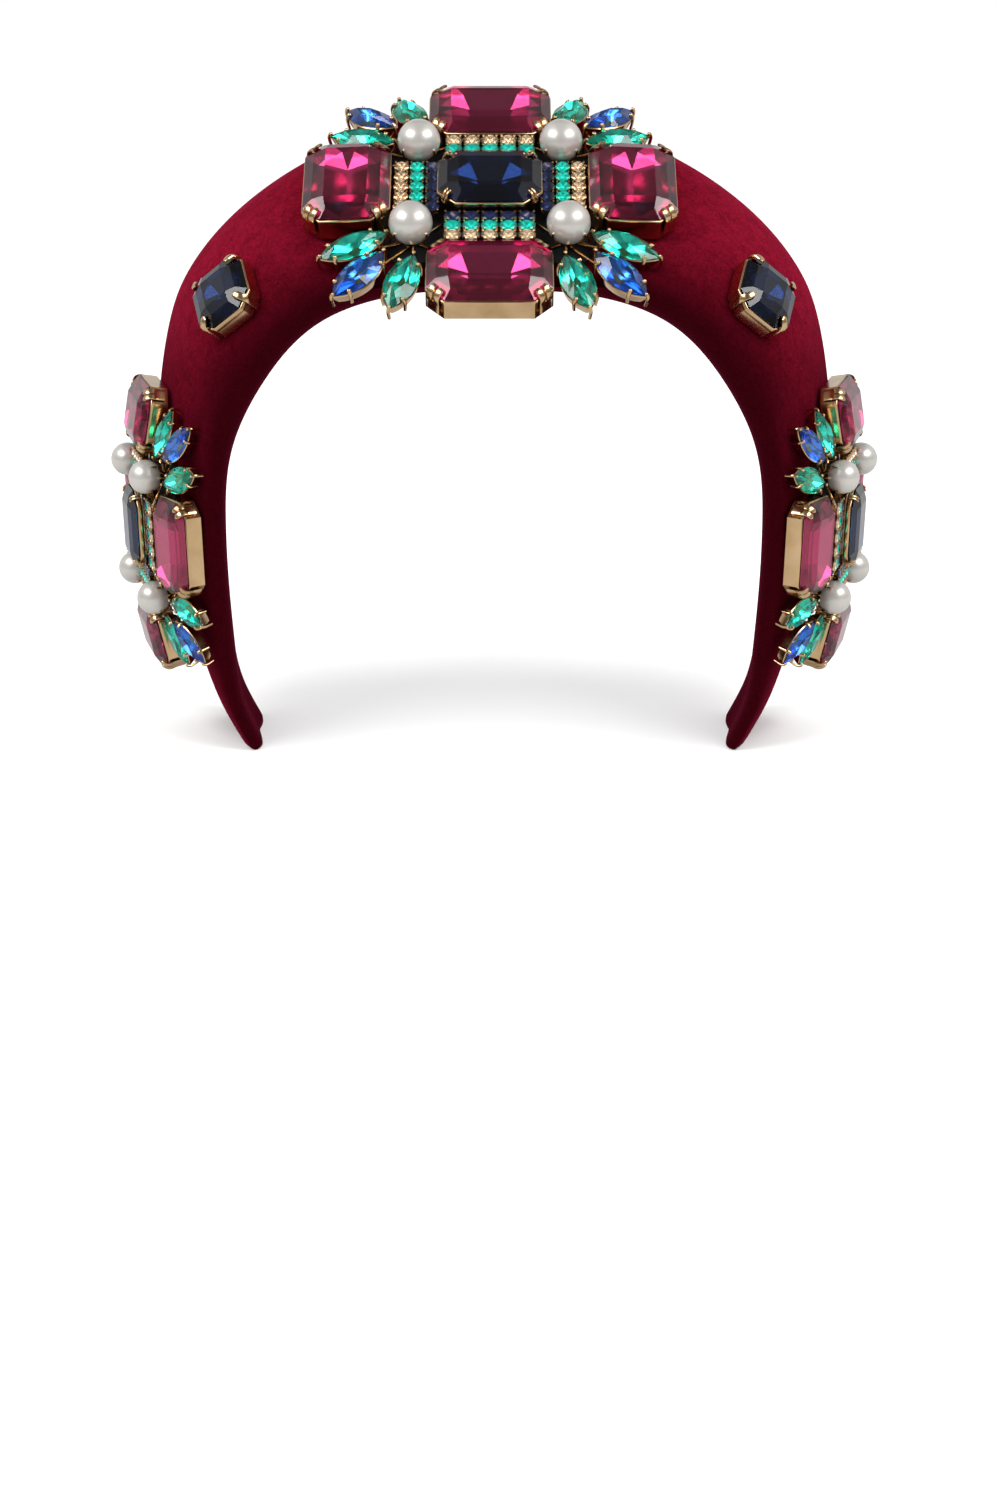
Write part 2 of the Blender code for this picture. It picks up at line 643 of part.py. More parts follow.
front_back = {("v", -1): "front", ("v", 1): "back"}
left_right = {("u", -1): "left", ("u", 1): "right"}
sizes = CENTRE_MOTIF["scale"], CENTRE_MOTIF["bend"]
centre = Motif("centre", centre_frame(), *sizes, front_back | left_right)
centre.build(finishes, True)
for side, side_name in ((-1, "left"), (1, "right")):
    # A side motif's along axis runs to the back. The left one's across axis runs up the band, the right one's down.
    levels = front_back | {("u", -side): "upper", ("u", side): "lower"}
    motif = Motif(side_name, side_frame(side), SIDE_MOTIF["scale"], SIDE_MOTIF["bend"], levels)
    motif.build(finishes, False)
    build_single(f"{side_name}_single", single_frame(side), finishes)
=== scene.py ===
"""Padded velvet headband with jewelled motifs, standing on its two tips on a pale studio floor."""

import math

import bmesh
import bpy
import numpy as np
from mathutils import Matrix, Vector


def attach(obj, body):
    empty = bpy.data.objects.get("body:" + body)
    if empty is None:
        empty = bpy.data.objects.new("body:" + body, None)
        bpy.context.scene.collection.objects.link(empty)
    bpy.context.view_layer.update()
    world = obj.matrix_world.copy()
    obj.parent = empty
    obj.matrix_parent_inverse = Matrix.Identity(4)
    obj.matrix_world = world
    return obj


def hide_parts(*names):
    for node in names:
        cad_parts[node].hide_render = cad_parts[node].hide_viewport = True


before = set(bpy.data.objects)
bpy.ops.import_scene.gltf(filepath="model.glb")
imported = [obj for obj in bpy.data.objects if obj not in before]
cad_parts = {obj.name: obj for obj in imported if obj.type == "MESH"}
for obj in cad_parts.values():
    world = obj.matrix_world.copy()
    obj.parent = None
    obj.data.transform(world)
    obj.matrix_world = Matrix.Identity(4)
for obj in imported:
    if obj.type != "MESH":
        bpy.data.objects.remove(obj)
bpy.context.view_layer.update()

# Camera and studio.
# A long lens looks down on the headband from in front. Two soft boxes stand above it at the sides, polished
# parts mirror white walls beside and behind it, and a pale floor fills the view.
CAMERA_PLACE = (0.0012, -0.7758, 0.2425)
CAMERA_PITCH = 17.6
LENS = 76.56
SENSOR_HEIGHT = 36
NEAREST_SEEN = 0.01
FLOOR_HALF = 6.0
FLOOR_COLOUR = (0.93, 0.93, 0.93)
FLOOR_MIRRORED = (0.45, 0.45, 0.45)  # darker than it is seen, so that polished sides keep their contrast
SOFT_BOXES = (
    # name, place, aimed at, width, height, watts
    ("key_left", (-0.67, -0.40, 0.75), (0, 0, 0.1), 0.72, 0.42, 6.6),
    ("key_right", (0.67, -0.40, 0.75), (0, 0, 0.1), 0.72, 0.42, 6.6),
)
WALLS_BRIGHT = 0.68  # the lit walls, as metal and glass mirror them
ROOM_DIM = 0.18  # the rest of the room, as they mirror it
FLOOD_BRIGHT = 1.12  # even light from all round, and the backdrop that the camera sees

camera = bpy.data.objects.new("camera", bpy.data.cameras.new("camera"))
camera.location = CAMERA_PLACE
camera.rotation_euler = (math.radians(90 - CAMERA_PITCH), 0, 0)
camera.data.sensor_fit = "VERTICAL"
camera.data.sensor_height = SENSOR_HEIGHT
camera.data.lens = LENS
camera.data.clip_start = NEAREST_SEEN
bpy.context.scene.collection.objects.link(camera)
bpy.context.scene.camera = camera

for name, place, aim, width, height, watts in SOFT_BOXES:
    light = bpy.data.lights.new(name, "AREA")
    light.shape = "RECTANGLE"
    light.size, light.size_y, light.energy = width, height, watts
    lamp = bpy.data.objects.new(name, light)
    lamp.location = place
    lamp.rotation_euler = (Vector(aim) - Vector(place)).to_track_quat("-Z", "Y").to_euler()
    bpy.context.scene.collection.objects.link(lamp)


def node_in(tree, kind, inputs=(), **settings):
    """A node with its settings, and with its inputs linked from sockets or set to plain values."""
    node = tree.nodes.new(kind)
    for name, value in settings.items():
        setattr(node, name, value)
    for label, value in dict(inputs).items():
        if isinstance(value, bpy.types.NodeSocket):
            tree.links.new(value, node.inputs[label])
        else:
            node.inputs[label].default_value = value
    return node


def math_in(tree, operation, *values, clamp=False):
    """The result of a math node on sockets and plain numbers."""
    return node_in(tree, "ShaderNodeMath", enumerate(values), operation=operation, use_clamp=clamp).outputs[0]


def colour_in(tree, share, first, last):
    """A colour that goes from the first to the last as the share's socket goes from 0 to 1."""
    colours = {"Factor": share, "A": (*first, 1), "B": (*last, 1)}
    return node_in(tree, "ShaderNodeMix", colours, data_type="RGBA").outputs["Result"]


world = bpy.data.worlds.new("studio")
bpy.context.scene.world = world
world.use_nodes = True
tree = world.node_tree
direction = node_in(tree, "ShaderNodeTexCoord")
split = node_in(tree, "ShaderNodeSeparateXYZ", {"Vector": direction.outputs["Generated"]})
backwards, upwards = split.outputs["Y"], split.outputs["Z"]
sideways = math_in(tree, "ABSOLUTE", split.outputs["X"])
walls = []
for ramps in (
    # the side walls, then the backdrop: which way is read, where the light starts and where it is full
    ((sideways, 0.22, 0.55), (upwards, 0.0, 0.45)),
    ((backwards, 0.10, 0.40), (upwards, 0.62, 0.45)),
):
    lit = []
    for way, start, full in ramps:
        limits = {"Value": way, "From Min": start, "From Max": full}
        ramp = node_in(tree, "ShaderNodeMapRange", limits, interpolation_type="SMOOTHSTEP")
        lit.append(ramp.outputs["Result"])
    walls.append(math_in(tree, "MULTIPLY", *lit))
mirrored = math_in(tree, "MULTIPLY_ADD", math_in(tree, "MAXIMUM", *walls), WALLS_BRIGHT - ROOM_DIM, ROOM_DIM)
ray = node_in(tree, "ShaderNodeLightPath")
flooded = math_in(tree, "MAXIMUM", ray.outputs["Is Diffuse Ray"], ray.outputs["Is Camera Ray"])
strength = node_in(tree, "ShaderNodeMix", {"Factor": flooded, "A": mirrored, "B": FLOOD_BRIGHT})
background = tree.nodes["Background"]
background.inputs["Color"].default_value = (1, 1, 1, 1)
tree.links.new(strength.outputs["Result"], background.inputs["Strength"])
bpy.context.scene.view_settings.view_transform = "Standard"

floor_mesh = bpy.data.meshes.new("floor")
corners = [(x * FLOOR_HALF, y * FLOOR_HALF, 0) for x, y in ((-1, -1), (1, -1), (1, 1), (-1, 1))]
floor_mesh.from_pydata(corners, [], [(0, 1, 2, 3)])
floor = bpy.data.objects.new("floor", floor_mesh)
bpy.context.scene.collection.objects.link(floor)


def finish(name, colour, roughness, metallic=0.0, **sockets):
    """A Principled material; the extra values are its sockets' names with underscores."""
    made = bpy.data.materials.new(name)
    made.use_nodes = True
    shader = made.node_tree.nodes["Principled BSDF"]
    shader.inputs["Base Color"].default_value = (*colour, 1)
    shader.inputs["Roughness"].default_value = roughness
    shader.inputs["Metallic"].default_value = metallic
    for socket, value in sockets.items():
        shader.inputs[socket.replace("_", " ")].default_value = value
    return made


pale = finish("pale_floor", FLOOR_COLOUR, roughness=0.6, Specular_IOR_Level=0.0)
tree = pale.node_tree
ray = node_in(tree, "ShaderNodeLightPath")
seen = colour_in(tree, ray.outputs["Is Glossy Ray"], FLOOR_COLOUR, FLOOR_MIRRORED)
tree.links.new(seen, tree.nodes["Principled BSDF"].inputs["Base Color"])
floor_mesh.materials.append(pale)

# Velvet band.
# A stiff inner band wrapped in thick foam and covered with wine-red velvet, widest on top and tapering to two
# tips. The cover is pulled round to the inside, and the settings sewn on it press the padding down.
MM = 0.001
BAND_ROWS = (
    # inner x, inner z, outer x, outer z, front, back, rise of the back edge, how puffed; from top to tip
    (0.0, 119.7, 0.0, 153.9, -32.0, 42.8, 0.24, 0.15),
    (23.0, 118.2, 27.0, 150.3, -31.0, 42.4, 0.24, 0.25),
    (42.8, 111.0, 51.6, 139.6, -30.0, 41.2, 0.25, 0.50),
    (55.8, 97.6, 70.9, 123.4, -28.5, 39.6, 0.28, 0.75),
    (64.6, 80.0, 82.7, 100.7, -27.0, 37.2, 0.33, 0.90),
    (66.8, 59.8, 84.8, 72.8, -25.0, 34.0, 0.38, 1.00),
    (66.3, 41.4, 82.5, 47.6, -22.0, 30.0, 0.42, 1.00),
    (65.0, 24.3, 76.0, 26.3, -18.0, 26.0, 0.42, 0.90),
    (63.0, 10.6, 70.9, 11.0, -14.0, 22.0, 0.40, 0.80),
    (58.6, 0.0, 64.9, 0.0, -12.4, 20.0, 0.30, 0.80),
)
SECTION = (
    # share of the depth, and of the height in a flat section and in a puffed one; from the front edge back
    (0.06, 0.00, 0.00),
    (0.00, 0.13, 0.18),
    (0.05, 0.31, 0.46),
    (0.36, 0.68, 0.90),
    (0.70, 1.00, 1.00),
    (0.92, 0.86, 0.84),
    (1.00, 0.58, 0.62),
)
BACK_EDGE_DEPTH = 0.96
INNER_MIDDLE = (0.50, 0.40)  # share of the depth, and of the back edge's height
SECTION_STRETCH = 2.2  # a section is this much deeper than high
BAND_STATIONS = 420
BAND_SIDES = 150
TIP_ROUND = 1.5
MOST_INSET = 0.8  # share of the section's half width
PRESS_SOFTNESS = 0.7
FLAT = 1.0e6  # the bend of a flat seat, as a radius
CENTRE_MOTIF = {"middle": (-1.0, -4.9, 137.0), "elevation": 61.0, "scale": 1.0, "bend": (FLAT, 400.0)}
SIDE_MOTIF = {"middle": (85.2, 3.2, 55.1), "forward": 15.0, "down": 2.0, "scale": 0.8, "bend": (230.0, 112.0)}
VELVET_BELOW = 2.2  # how far a motif presses the velvet down below its seat
SINGLE_PLACE = (0.366, 0.141)  # share of the arch from the top to a tip, and of the way round the section
SINGLE_TURN = 15.0
SINGLE_PRESS = 1.5
SINGLE_REACH = 0.01  # how far from its place the slope of the velvet is read
STONE_GAP = 0.3
# Painted light and shade on the velvet, as if lit from above: its colour is lighter towards the outer side
# and the top, dark inside and below.
PAINTED_LIGHT_INSIDE = 0.07
PAINTED_LIGHT_RISE = (0.10, 0.90)  # it gets lighter between these shares of the section's height
# height on the arch, and how much painted light the velvet gets there
PAINTED_LIGHT_BY_HEIGHT = ((0, 0.30), (50, 0.26), (95, 0.27), (113, 0.66), (125, 0.74), (155, 0.52))
# the painted shade takes the velvet towards this dark colour, and the nap's patches vary it
VELVET_DARK = (0.012, 0.0004, 0.0014)
VELVET_LIGHT = (0.165, 0.0042, 0.0150)
GRAIN_SHARE = 0.45  # of the nap's pattern, where the rest is broad patches
NAP_DARKEST = 0.38  # value of the noise where the nap is darkest
NAP_LIGHTEST = 0.62
SPACED_BY = 4  # the length along a curve is measured in this many of its first columns


def spline(points, at, closed=False, stretch=None):
    """Points on the smooth curve through the given ones, at shares from 0 to 1 of its length."""
    points = np.asarray(points, float)
    if closed:
        points = np.vstack([points, points[:1]])
    steps = np.diff(points[:, :SPACED_BY], axis=0)
    if stretch is not None:
        steps = steps * stretch
    knots = np.r_[0, np.cumsum(np.linalg.norm(steps, axis=1))]
    gaps = np.diff(knots)
    slopes = np.diff(points, axis=0) / gaps[:, None]
    count = len(points)
    system = np.zeros((count, count))
    right = np.zeros_like(points)
    for i in range(1, count - 1):
        system[i, i - 1 : i + 2] = gaps[i - 1], 2 * (gaps[i - 1] + gaps[i]), gaps[i]
        right[i] = 6 * (slopes[i] - slopes[i - 1])
    if closed:
        system[0, 0], system[0, -1] = 1, -1
        system[-1, 0], system[-1, 1] = 2 * gaps[0], gaps[0]
        system[-1, -2], system[-1, -1] = gaps[-1], 2 * gaps[-1]
        right[-1] = 6 * (slopes[0] - slopes[-1])
    else:
        system[0, 0] = system[-1, -1] = 1
    bends = np.linalg.solve(system, right)
    where = np.asarray(at) * knots[-1]
    k = np.clip(np.searchsorted(knots, where, side="right") - 1, 0, count - 2)
    gap = gaps[k][:, None]
    a = (knots[k + 1] - where)[:, None] / gap
    b = 1 - a
    bent = ((a**3 - a) * bends[k] + (b**3 - b) * bends[k + 1]) * gap**2 / 6
    return a * points[k] + b * points[k + 1] + bent


def band_rows(stations):
    """The columns of BAND_ROWS at stations along the arch, from -1 (left tip) to 1 (right tip)."""
    right = np.array(BAND_ROWS)
    left = right[:0:-1] * np.array([-1, 1, -1, 1, 1, 1, 1, 1])
    return spline(np.vstack([left, right]), (np.asarray(stations) + 1) / 2)


def band_points(stations, around):
    """The unpressed surface of the band at these stations, and at shares from 0 to 1 round a section."""
    rows = band_rows(stations)
    points = np.zeros((len(rows), len(around), 3))
    for i, (inner_x, inner_z, outer_x, outer_z, front, back, rise, full) in enumerate(rows):
        outline = [(depth, flat + (puffed - flat) * full) for depth, flat, puffed in SECTION]
        outline += [(BACK_EDGE_DEPTH, rise), (INNER_MIDDLE[0], INNER_MIDDLE[1] * rise)]
        depth, height = spline(outline, around, closed=True, stretch=(SECTION_STRETCH, 1)).T
        points[i, :, 0] = inner_x + height * (outer_x - inner_x)
        points[i, :, 1] = front + depth * (back - front)
        points[i, :, 2] = inner_z + height * (outer_z - inner_z)
    return points


def painted_light_of(skin, stations):
    """How much painted light and shade the velvet gets at each point, from the height in its section and
    along the arch.
    """
    rows = band_rows(stations)
    inner, outer = rows[:, None, 0:2], rows[:, None, 2:4]
    height = np.linalg.norm(skin[:, :, ::2] - inner, axis=2) / np.linalg.norm(outer - inner, axis=2)
    rise = np.clip((height - PAINTED_LIGHT_RISE[0]) / (PAINTED_LIGHT_RISE[1] - PAINTED_LIGHT_RISE[0]), 0, 1)
    light = np.interp(skin[:, :, 2], *zip(*PAINTED_LIGHT_BY_HEIGHT))
    return PAINTED_LIGHT_INSIDE + rise * rise * (3 - 2 * rise) * light


def frame_of(middle, normal, across):
    """Matrix that places a thing, with columns across, along and outwards. Lengths are in millimetres."""
    normal = Vector(normal).normalized()
    across = Vector(across)
    across = (across - normal * across.dot(normal)).normalized()
    turn = Matrix((across, normal.cross(across), normal)).transposed().to_4x4()
    return Matrix.Translation(Vector(middle)) @ turn


def centre_frame():
    """Frame of the top motif, which leans towards the front."""
    rise = math.radians(CENTRE_MOTIF["elevation"])
    return frame_of(CENTRE_MOTIF["middle"], (0, -math.cos(rise), math.sin(rise)), (1, 0, 0))


def side_frame(side):
    """Frame of a side motif; side is -1 for the left one and 1 for the right one."""
    x, y, z = SIDE_MOTIF["middle"]
    forward = math.radians(SIDE_MOTIF["forward"])
    down = math.radians(SIDE_MOTIF["down"])
    level = math.cos(down)
    normal = (side * math.cos(forward) * level, -math.sin(forward) * level, -math.sin(down))
    return frame_of((side * x, y, z), normal, (0, 0, -side))


def single_frame(side):
    """Frame of a single stone, level with the velvet round it."""
    around = np.array([-SINGLE_REACH, 0, SINGLE_REACH])
    patch = band_points(SINGLE_PLACE[0] + around, SINGLE_PLACE[1] + around)
    patch[:, :, 0] *= side
    along_arch = Vector(patch[2, 1] - patch[0, 1]).normalized()
    to_back = Vector(patch[1, 2] - patch[1, 0]).normalized()
    normal = along_arch.cross(to_back).normalized()
    if normal.x * side < 0:
        normal = -normal
    along_arch = Matrix.Rotation(math.radians(side * SINGLE_TURN), 3, normal) @ along_arch
    return frame_of(Vector(patch[1, 1]) - normal * SINGLE_PRESS, normal, along_arch)


def pressed(points, seat, scale, bend, below):
    """Pushes the points that stand above a motif's seat down to it, with a soft edge."""
    matrix = np.array(seat)
    local = (points - matrix[:3, 3]) @ matrix[:3, :3]
    drop = local[..., 0] ** 2 / (2 * bend[0] * scale) + local[..., 1] ** 2 / (2 * bend[1] * scale)
    seat_level = -drop - below
    over = (local[..., 2] - seat_level) / PRESS_SOFTNESS
    local[..., 2] = seat_level - PRESS_SOFTNESS * np.logaddexp(0, -over)
    return local @ matrix[:3, :3].T + matrix[:3, 3]


def mesh_from(name, points, faces):
    """A mesh from points in millimetres, with its faces turned outwards."""
    mesh = bpy.data.meshes.new(name)
    mesh.from_pydata((np.asarray(points) * MM).tolist(), [], faces)
    shape = bmesh.new()
    shape.from_mesh(mesh)
    bmesh.ops.recalc_face_normals(shape, faces=shape.faces)
    shape.to_mesh(mesh)
    shape.free()
    return mesh


def ring_faces(first, second, count):
    """Faces between two rings of points, which start at the given places in the list."""
    return [(first + i, first + (i + 1) % count, second + (i + 1) % count, second + i) for i in range(count)]


def loft_faces(rings, count):
    """Faces between rings of the same number of points, closed at both ends."""
    faces = [tuple(range(count))[::-1], tuple(range((rings - 1) * count, rings * count))]
    for r in range(rings - 1):
        faces += ring_faces(r * count, (r + 1) * count, count)
    return faces


def put_in_scene(obj, slot, *nodes):
    """Fixes a finished piece to the object and, where it stands for solids of the frame, replaces them."""
    bpy.context.scene.collection.objects.link(obj)
    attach(obj, "root")
    if nodes:
        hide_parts(*nodes)
    return obj


def shader_group(name, inputs, outputs):
    """A shader group with the named number inputs and their usual values, and the named outputs."""
    group = bpy.data.node_groups.new(name, "ShaderNodeTree")
    for label, value in inputs.items():
        socket = group.interface.new_socket(label, in_out="INPUT", socket_type="NodeSocketFloat")
        socket.default_value = value
    for label in outputs:
        group.interface.new_socket(label, in_out="OUTPUT", socket_type="NodeSocketFloat")
    return group, group.nodes.new("NodeGroupInput"), group.nodes.new("NodeGroupOutput")


def noise_in(group, scale, **settings):
    """A noise on Object coordinates in a shader group, with its scale from the given socket."""
    place = node_in(group, "ShaderNodeTexCoord")
    inputs = {"Vector": place.outputs["Object"], "Scale": scale} | settings
    return node_in(group, "ShaderNodeTexNoise", inputs).outputs["Fac"]


def nap_group():
    """Velvet nap: broad patches where the nap lies another way and the fine grain of its ends, scaled by a
    painted light and shade.
    """
    usual = {"Patch Scale": 70.0, "Grain Scale": 1500.0, "Contrast": 0.5, "Lie": 0.5}
    group, given, out = shader_group("velvet_nap", usual, ("Mask", "Height"))
    patches = noise_in(group, given.outputs["Patch Scale"], Detail=6.0, Roughness=0.72, Distortion=0.8)
    grain = noise_in(group, given.outputs["Grain Scale"], Detail=2.0)
    both = node_in(group, "ShaderNodeMix", {"Factor": GRAIN_SHARE, "A": patches, "B": grain})
    spread = {"From Min": NAP_DARKEST, "From Max": NAP_LIGHTEST, "To Min": -0.5, "To Max": 0.5}
    centred = node_in(group, "ShaderNodeMapRange", {"Value": both.outputs["Result"]} | spread)
    share = math_in(group, "MULTIPLY_ADD", centred.outputs["Result"], given.outputs["Contrast"], 1.0)
    # the nap's pattern times the painted light and shade gives the share of the light colour
    mask = math_in(group, "MULTIPLY", share, given.outputs["Lie"], clamp=True)
    group.links.new(mask, out.inputs["Mask"])
    group.links.new(grain, out.inputs["Height"])
    return group


def patterned(made, group, values, dark, light, bump=0.0, bump_depth=0.0001):
    """Lays a surface group's mask over a material, from one colour to another, with its height as a bump."""
    tree = made.node_tree
    shader = tree.nodes["Principled BSDF"]
    pattern = node_in(tree, "ShaderNodeGroup", node_tree=group)
    for label, value in values.items():
        if isinstance(value, str):
            along = node_in(tree, "ShaderNodeAttribute", attribute_name=value)
            tree.links.new(along.outputs["Fac"], pattern.inputs[label])
        else:
            pattern.inputs[label].default_value = value
    tree.links.new(colour_in(tree, pattern.outputs["Mask"], dark, light), shader.inputs["Base Color"])
    if bump:
        relief = {"Strength": bump, "Distance": bump_depth, "Height": pattern.outputs["Height"]}
        relief = node_in(tree, "ShaderNodeBump", relief)
        tree.links.new(relief.outputs["Normal"], shader.inputs["Normal"])
    return made


velvet_nap = nap_group()
velvet = finish(
    "wine_velvet",
    VELVET_LIGHT,
    roughness=0.85,
    Sheen_Weight=0.16,
    Sheen_Roughness=0.28,
    Sheen_Tint=(0.90, 0.08, 0.20, 1),
    Specular_IOR_Level=0.0,
)
# the velvet's colour takes painted light and shade from an attribute on the band's points
nap = {"Patch Scale": 260.0, "Grain Scale": 1500.0, "Contrast": 0.8, "Lie": "pile"}
patterned(velvet, velvet_nap, nap, VELVET_DARK, VELVET_LIGHT, bump=0.55, bump_depth=0.0004)

stations = np.linspace(-1, 1, BAND_STATIONS + 1)
skin = band_points(stations, np.arange(BAND_SIDES) / BAND_SIDES)
pile = painted_light_of(skin, stations)
seats = [(centre_frame(), CENTRE_MOTIF["scale"], CENTRE_MOTIF["bend"], VELVET_BELOW)]
for side in (-1, 1):
    scale = SIDE_MOTIF["scale"]
    seats.append((side_frame(side), scale, SIDE_MOTIF["bend"], VELVET_BELOW * scale))
    seats.append((single_frame(side), 1.0, (FLAT, FLAT), STONE_GAP))
for seat in seats:
    skin = pressed(skin, *seat)
# Each tip is rounded at its end, where the velvet is turned in.
heights = skin.mean(axis=1)[:, 2]
short = np.clip(1 - heights / TIP_ROUND, 0, 1)
inset = TIP_ROUND * (1 - np.sqrt(1 - short**2))
centres = skin.mean(axis=1, keepdims=True)
reach = np.linalg.norm(skin - centres, axis=2, keepdims=True)
skin += (centres - skin) / reach * np.minimum(inset[:, None, None], MOST_INSET * reach)
band_mesh = mesh_from("velvet_cover", skin.reshape(-1, 3), loft_faces(len(stations), BAND_SIDES))
band_mesh.shade_smooth()
# stores the painted light and shade on the band's points
band_mesh.attributes.new("pile", "FLOAT", "POINT").data.foreach_set("value", pile.ravel())
band_mesh.materials.append(velvet)
band = put_in_scene(bpy.data.objects.new("velvet_cover", band_mesh), "velvet", "velvet_band")

# Backings.
# A near-black backing behind the middle of each motif, which shows dark between the stones.
BACKING_DARK = (0.002, 0.002, 0.0025)
BACKING_LIGHT = (0.008, 0.0075, 0.009)

backing_finish = finish("black_backing", BACKING_LIGHT, roughness=0.9, Specular_IOR_Level=0.2)
weave = {"Patch Scale": 400.0, "Grain Scale": 2500.0, "Contrast": 1.0}
patterned(backing_finish, velvet_nap, weave, BACKING_DARK, BACKING_LIGHT, bump=0.4, bump_depth=0.0002)
for motif in ("centre", "left", "right"):
    backing = bpy.data.objects[f"{motif}_backing"]
    backing.data.materials.clear()
    backing.data.materials.append(backing_finish)

# Gold settings.
# Each motif is cast and soldered brass with a pale gold plating: five box settings with split claws over the
# cut corners, twelve marquise cups with small bead claws, four pearl cups, and the wires that join them.

# Sizes of a box and its stone. The corner is cut off, wall and floor are heights, table and rise are how far
# in and up the crown's slope goes, flare is how far the wall leans out, and a claw's leg lies on the wall.
BOX_SIZES = ("length", "width", "corner", "wall", "floor", "table", "rise", "flare")
CLAW_SIZES = ("claw_width", "claw_leg", "claw_reach")
RUBY = dict(zip(BOX_SIZES + CLAW_SIZES, (30.0, 21.2, 4.4, 4.2, -1.4, 5.2, 2.9, 0.0, 4.0, 4.2, 0.75)))
NAVY = dict(zip(BOX_SIZES + CLAW_SIZES, (25.2, 20.6, 4.4, 6.4, 0.0, 4.9, 2.0, 1.2, 1.7, 1.1, 0.55)))
FLARE_BELOW_RIM = (1.8, 1.2)  # where the middle box's flare starts and where it ends
FLARE_LIFT = 0.4  # how far the flare's inner side lies above its outer side
BOX_EDGE = (0.5, 0.35)  # how far the edge round the floor is cut off, inwards and upwards
BOX_FLOOR_THICK = 1.0
WALL_THICK = 0.8
WALL_INSET = 0.12  # how far the wall stands in from the widest part of the rim
RIM = 0.35
RIM_ARC = range(0, 181, 30)  # degrees over the rim, from its outer side to its inner side
LEAST_CORNER = 0.5
OCTAGONS = (
    # place, across, along, turn, lean outwards
    ("middle", 0.0, 0.0, 0.0, 0.0),
    (("u", -1), -34.0, 0.8, 90.0, 3.0),
    (("u", 1), 34.0, 0.8, 90.0, 3.0),
    (("v", -1), 0.0, -31.4, 0.0, 0.0),
    (("v", 1), 0.0, 31.4, 0.0, 0.0),
)
CLAW_LINE = (
    # middle line from the foot of the wall over the rim: inwards from the wall, up from the rim, thickness
    (-0.45, -4.2, 0.45),
    (-0.50, -1.5, 0.50),
    (-0.48, 0.1, 0.60),
    (-0.05, 1.05, 0.70),
    (0.75, 1.70, 0.75),
    (1.5, 2.05, 0.70),
    (2.1, 2.25, 0.50),
)
CLAW_STEPS = 22
BAR_SIDES = 10
BAR_SQUARENESS = 0.7  # power that makes a bar's section squarer than round
BAR_END = (1.02, 0.02)  # share of its length where a rounded bar would close, and its least squared width
FINGER_SHARE = 0.45  # of the claw's width
FINGERS_START = 3  # steps below the middle of the claw
FINGERS_ROUND_FROM = 0.72
SPREAD_SHARE = 0.29  # how far each finger stands off the middle, as a share of the claw's width
SPREAD_WAIST = 0.12  # how much less that is halfway
PEARL_PLACES = {-1: (18.6, 17.1), 1: (17.2, 14.7)}  # across and along, in the front corners and the back ones
PEARL_RADIUS = 5.2
PEARL_LIFT = 6.4
PEARL_CUP = (
    # radius, height
    (1.4, 0.2),
    (1.6, 1.0),
    (3.2, 1.9),
    (4.2, 3.4),
    (4.0, 3.5),
    (2.0, 2.0),
)
PEARL_CUP_SIDES = 24
PEARL_CLAW_LINE = (
    # inwards, up, thickness
    (-3.4, 2.4, 0.5),
    (-4.7, 3.6, 0.5),
    (-5.3, 5.0, 0.4),
    (-5.35, 6.2, 0.3),
)
PEARL_CLAW_WIDTH = 0.55
PEARL_CLAW_STEPS = 10
MARQUISES = (
    # name, front across, front along, back across, back along, points to, lean outwards
    ("a", 31.8, 20.8, 30.8, 20.8, 22.0, 8.0),
    ("b", 30.3, 30.4, 29.1, 29.7, 46.0, 10.0),
    ("c", 20.4, 32.9, 19.7, 32.2, 71.0, 8.0),
)
MARQUISE_LENGTH = 17.6
MARQUISE_WIDTH = 8.4
MARQUISE_RIM = 0.2
MARQUISE_DROP = 0.5
CUP_HEIGHT = 3.1
CUP_FOOT = (0.82, 0.78)  # share of the cup's length and width
CUP_LIP = (0.9, 0.8)  # how much shorter and narrower the lip's inner edge is
CUP_RINGS = (
    # shares of the foot's, the mouth's and the lip's outline, height
    (1.0, 0.0, 0.0, 0.0),
    (0.4, 0.6, 0.0, 1.55),
    (0.0, 1.0, 0.0, 2.85),
    (0.0, 0.5, 0.5, 3.1),
    (0.0, 0.0, 1.0, 2.9),
    (0.0, 0.0, 0.7, 1.0),
)
CUP_POINTS = 28
BEAD = 0.52
LEAST_RING = 0.02  # share of a ball's radius, at its poles
END_BEAD_SHARE = 0.85
BEAD_PLACE = (-0.38, 0.75)  # inwards from the wall, and above its rim
BEAD_CLAWS_AT = 0.31  # share of the marquise's length, from its middle
BEAD_CLAW_WAY = (0.35, 2.2)  # weights of along and across in the way that a claw faces
BEAD_CLAW_LINE = (
    # inwards, share of the cup's height, height above that, thickness
    (-0.10, 0.0, 0.2, 0.7),
    (-0.32, 0.6, 0.0, 0.7),
    (-0.30, 1.0, 0.0, 0.75),
    (0.15, 1.0, 0.75, 0.75),
)
BEAD_CLAW_WIDTHS = (0.8, 0.95)
BEAD_CLAW_STEPS = 8
WIRES = (
    # start and end, each across and along
    ((8.6, 7.0), (27.8, 27.6)),
    ((27.6, 10.6), (10.4, 21.2)),
    ((17.7, 15.7), (29.0, 20.0)),
    ((17.7, 15.7), (19.4, 29.6)),
)
WIRE_RADIUS = 0.3
WIRE_LIFT = 0.1
WIRE_SIDES = 8
GOLD_SMOOTH = 40  # degrees; bends sharper than that keep an edge
GOLD_DEEP = (0.42, 0.25, 0.10)
GOLD_PALE = (0.84, 0.61, 0.36)
SCRATCH_ROUGHNESS = 0.16


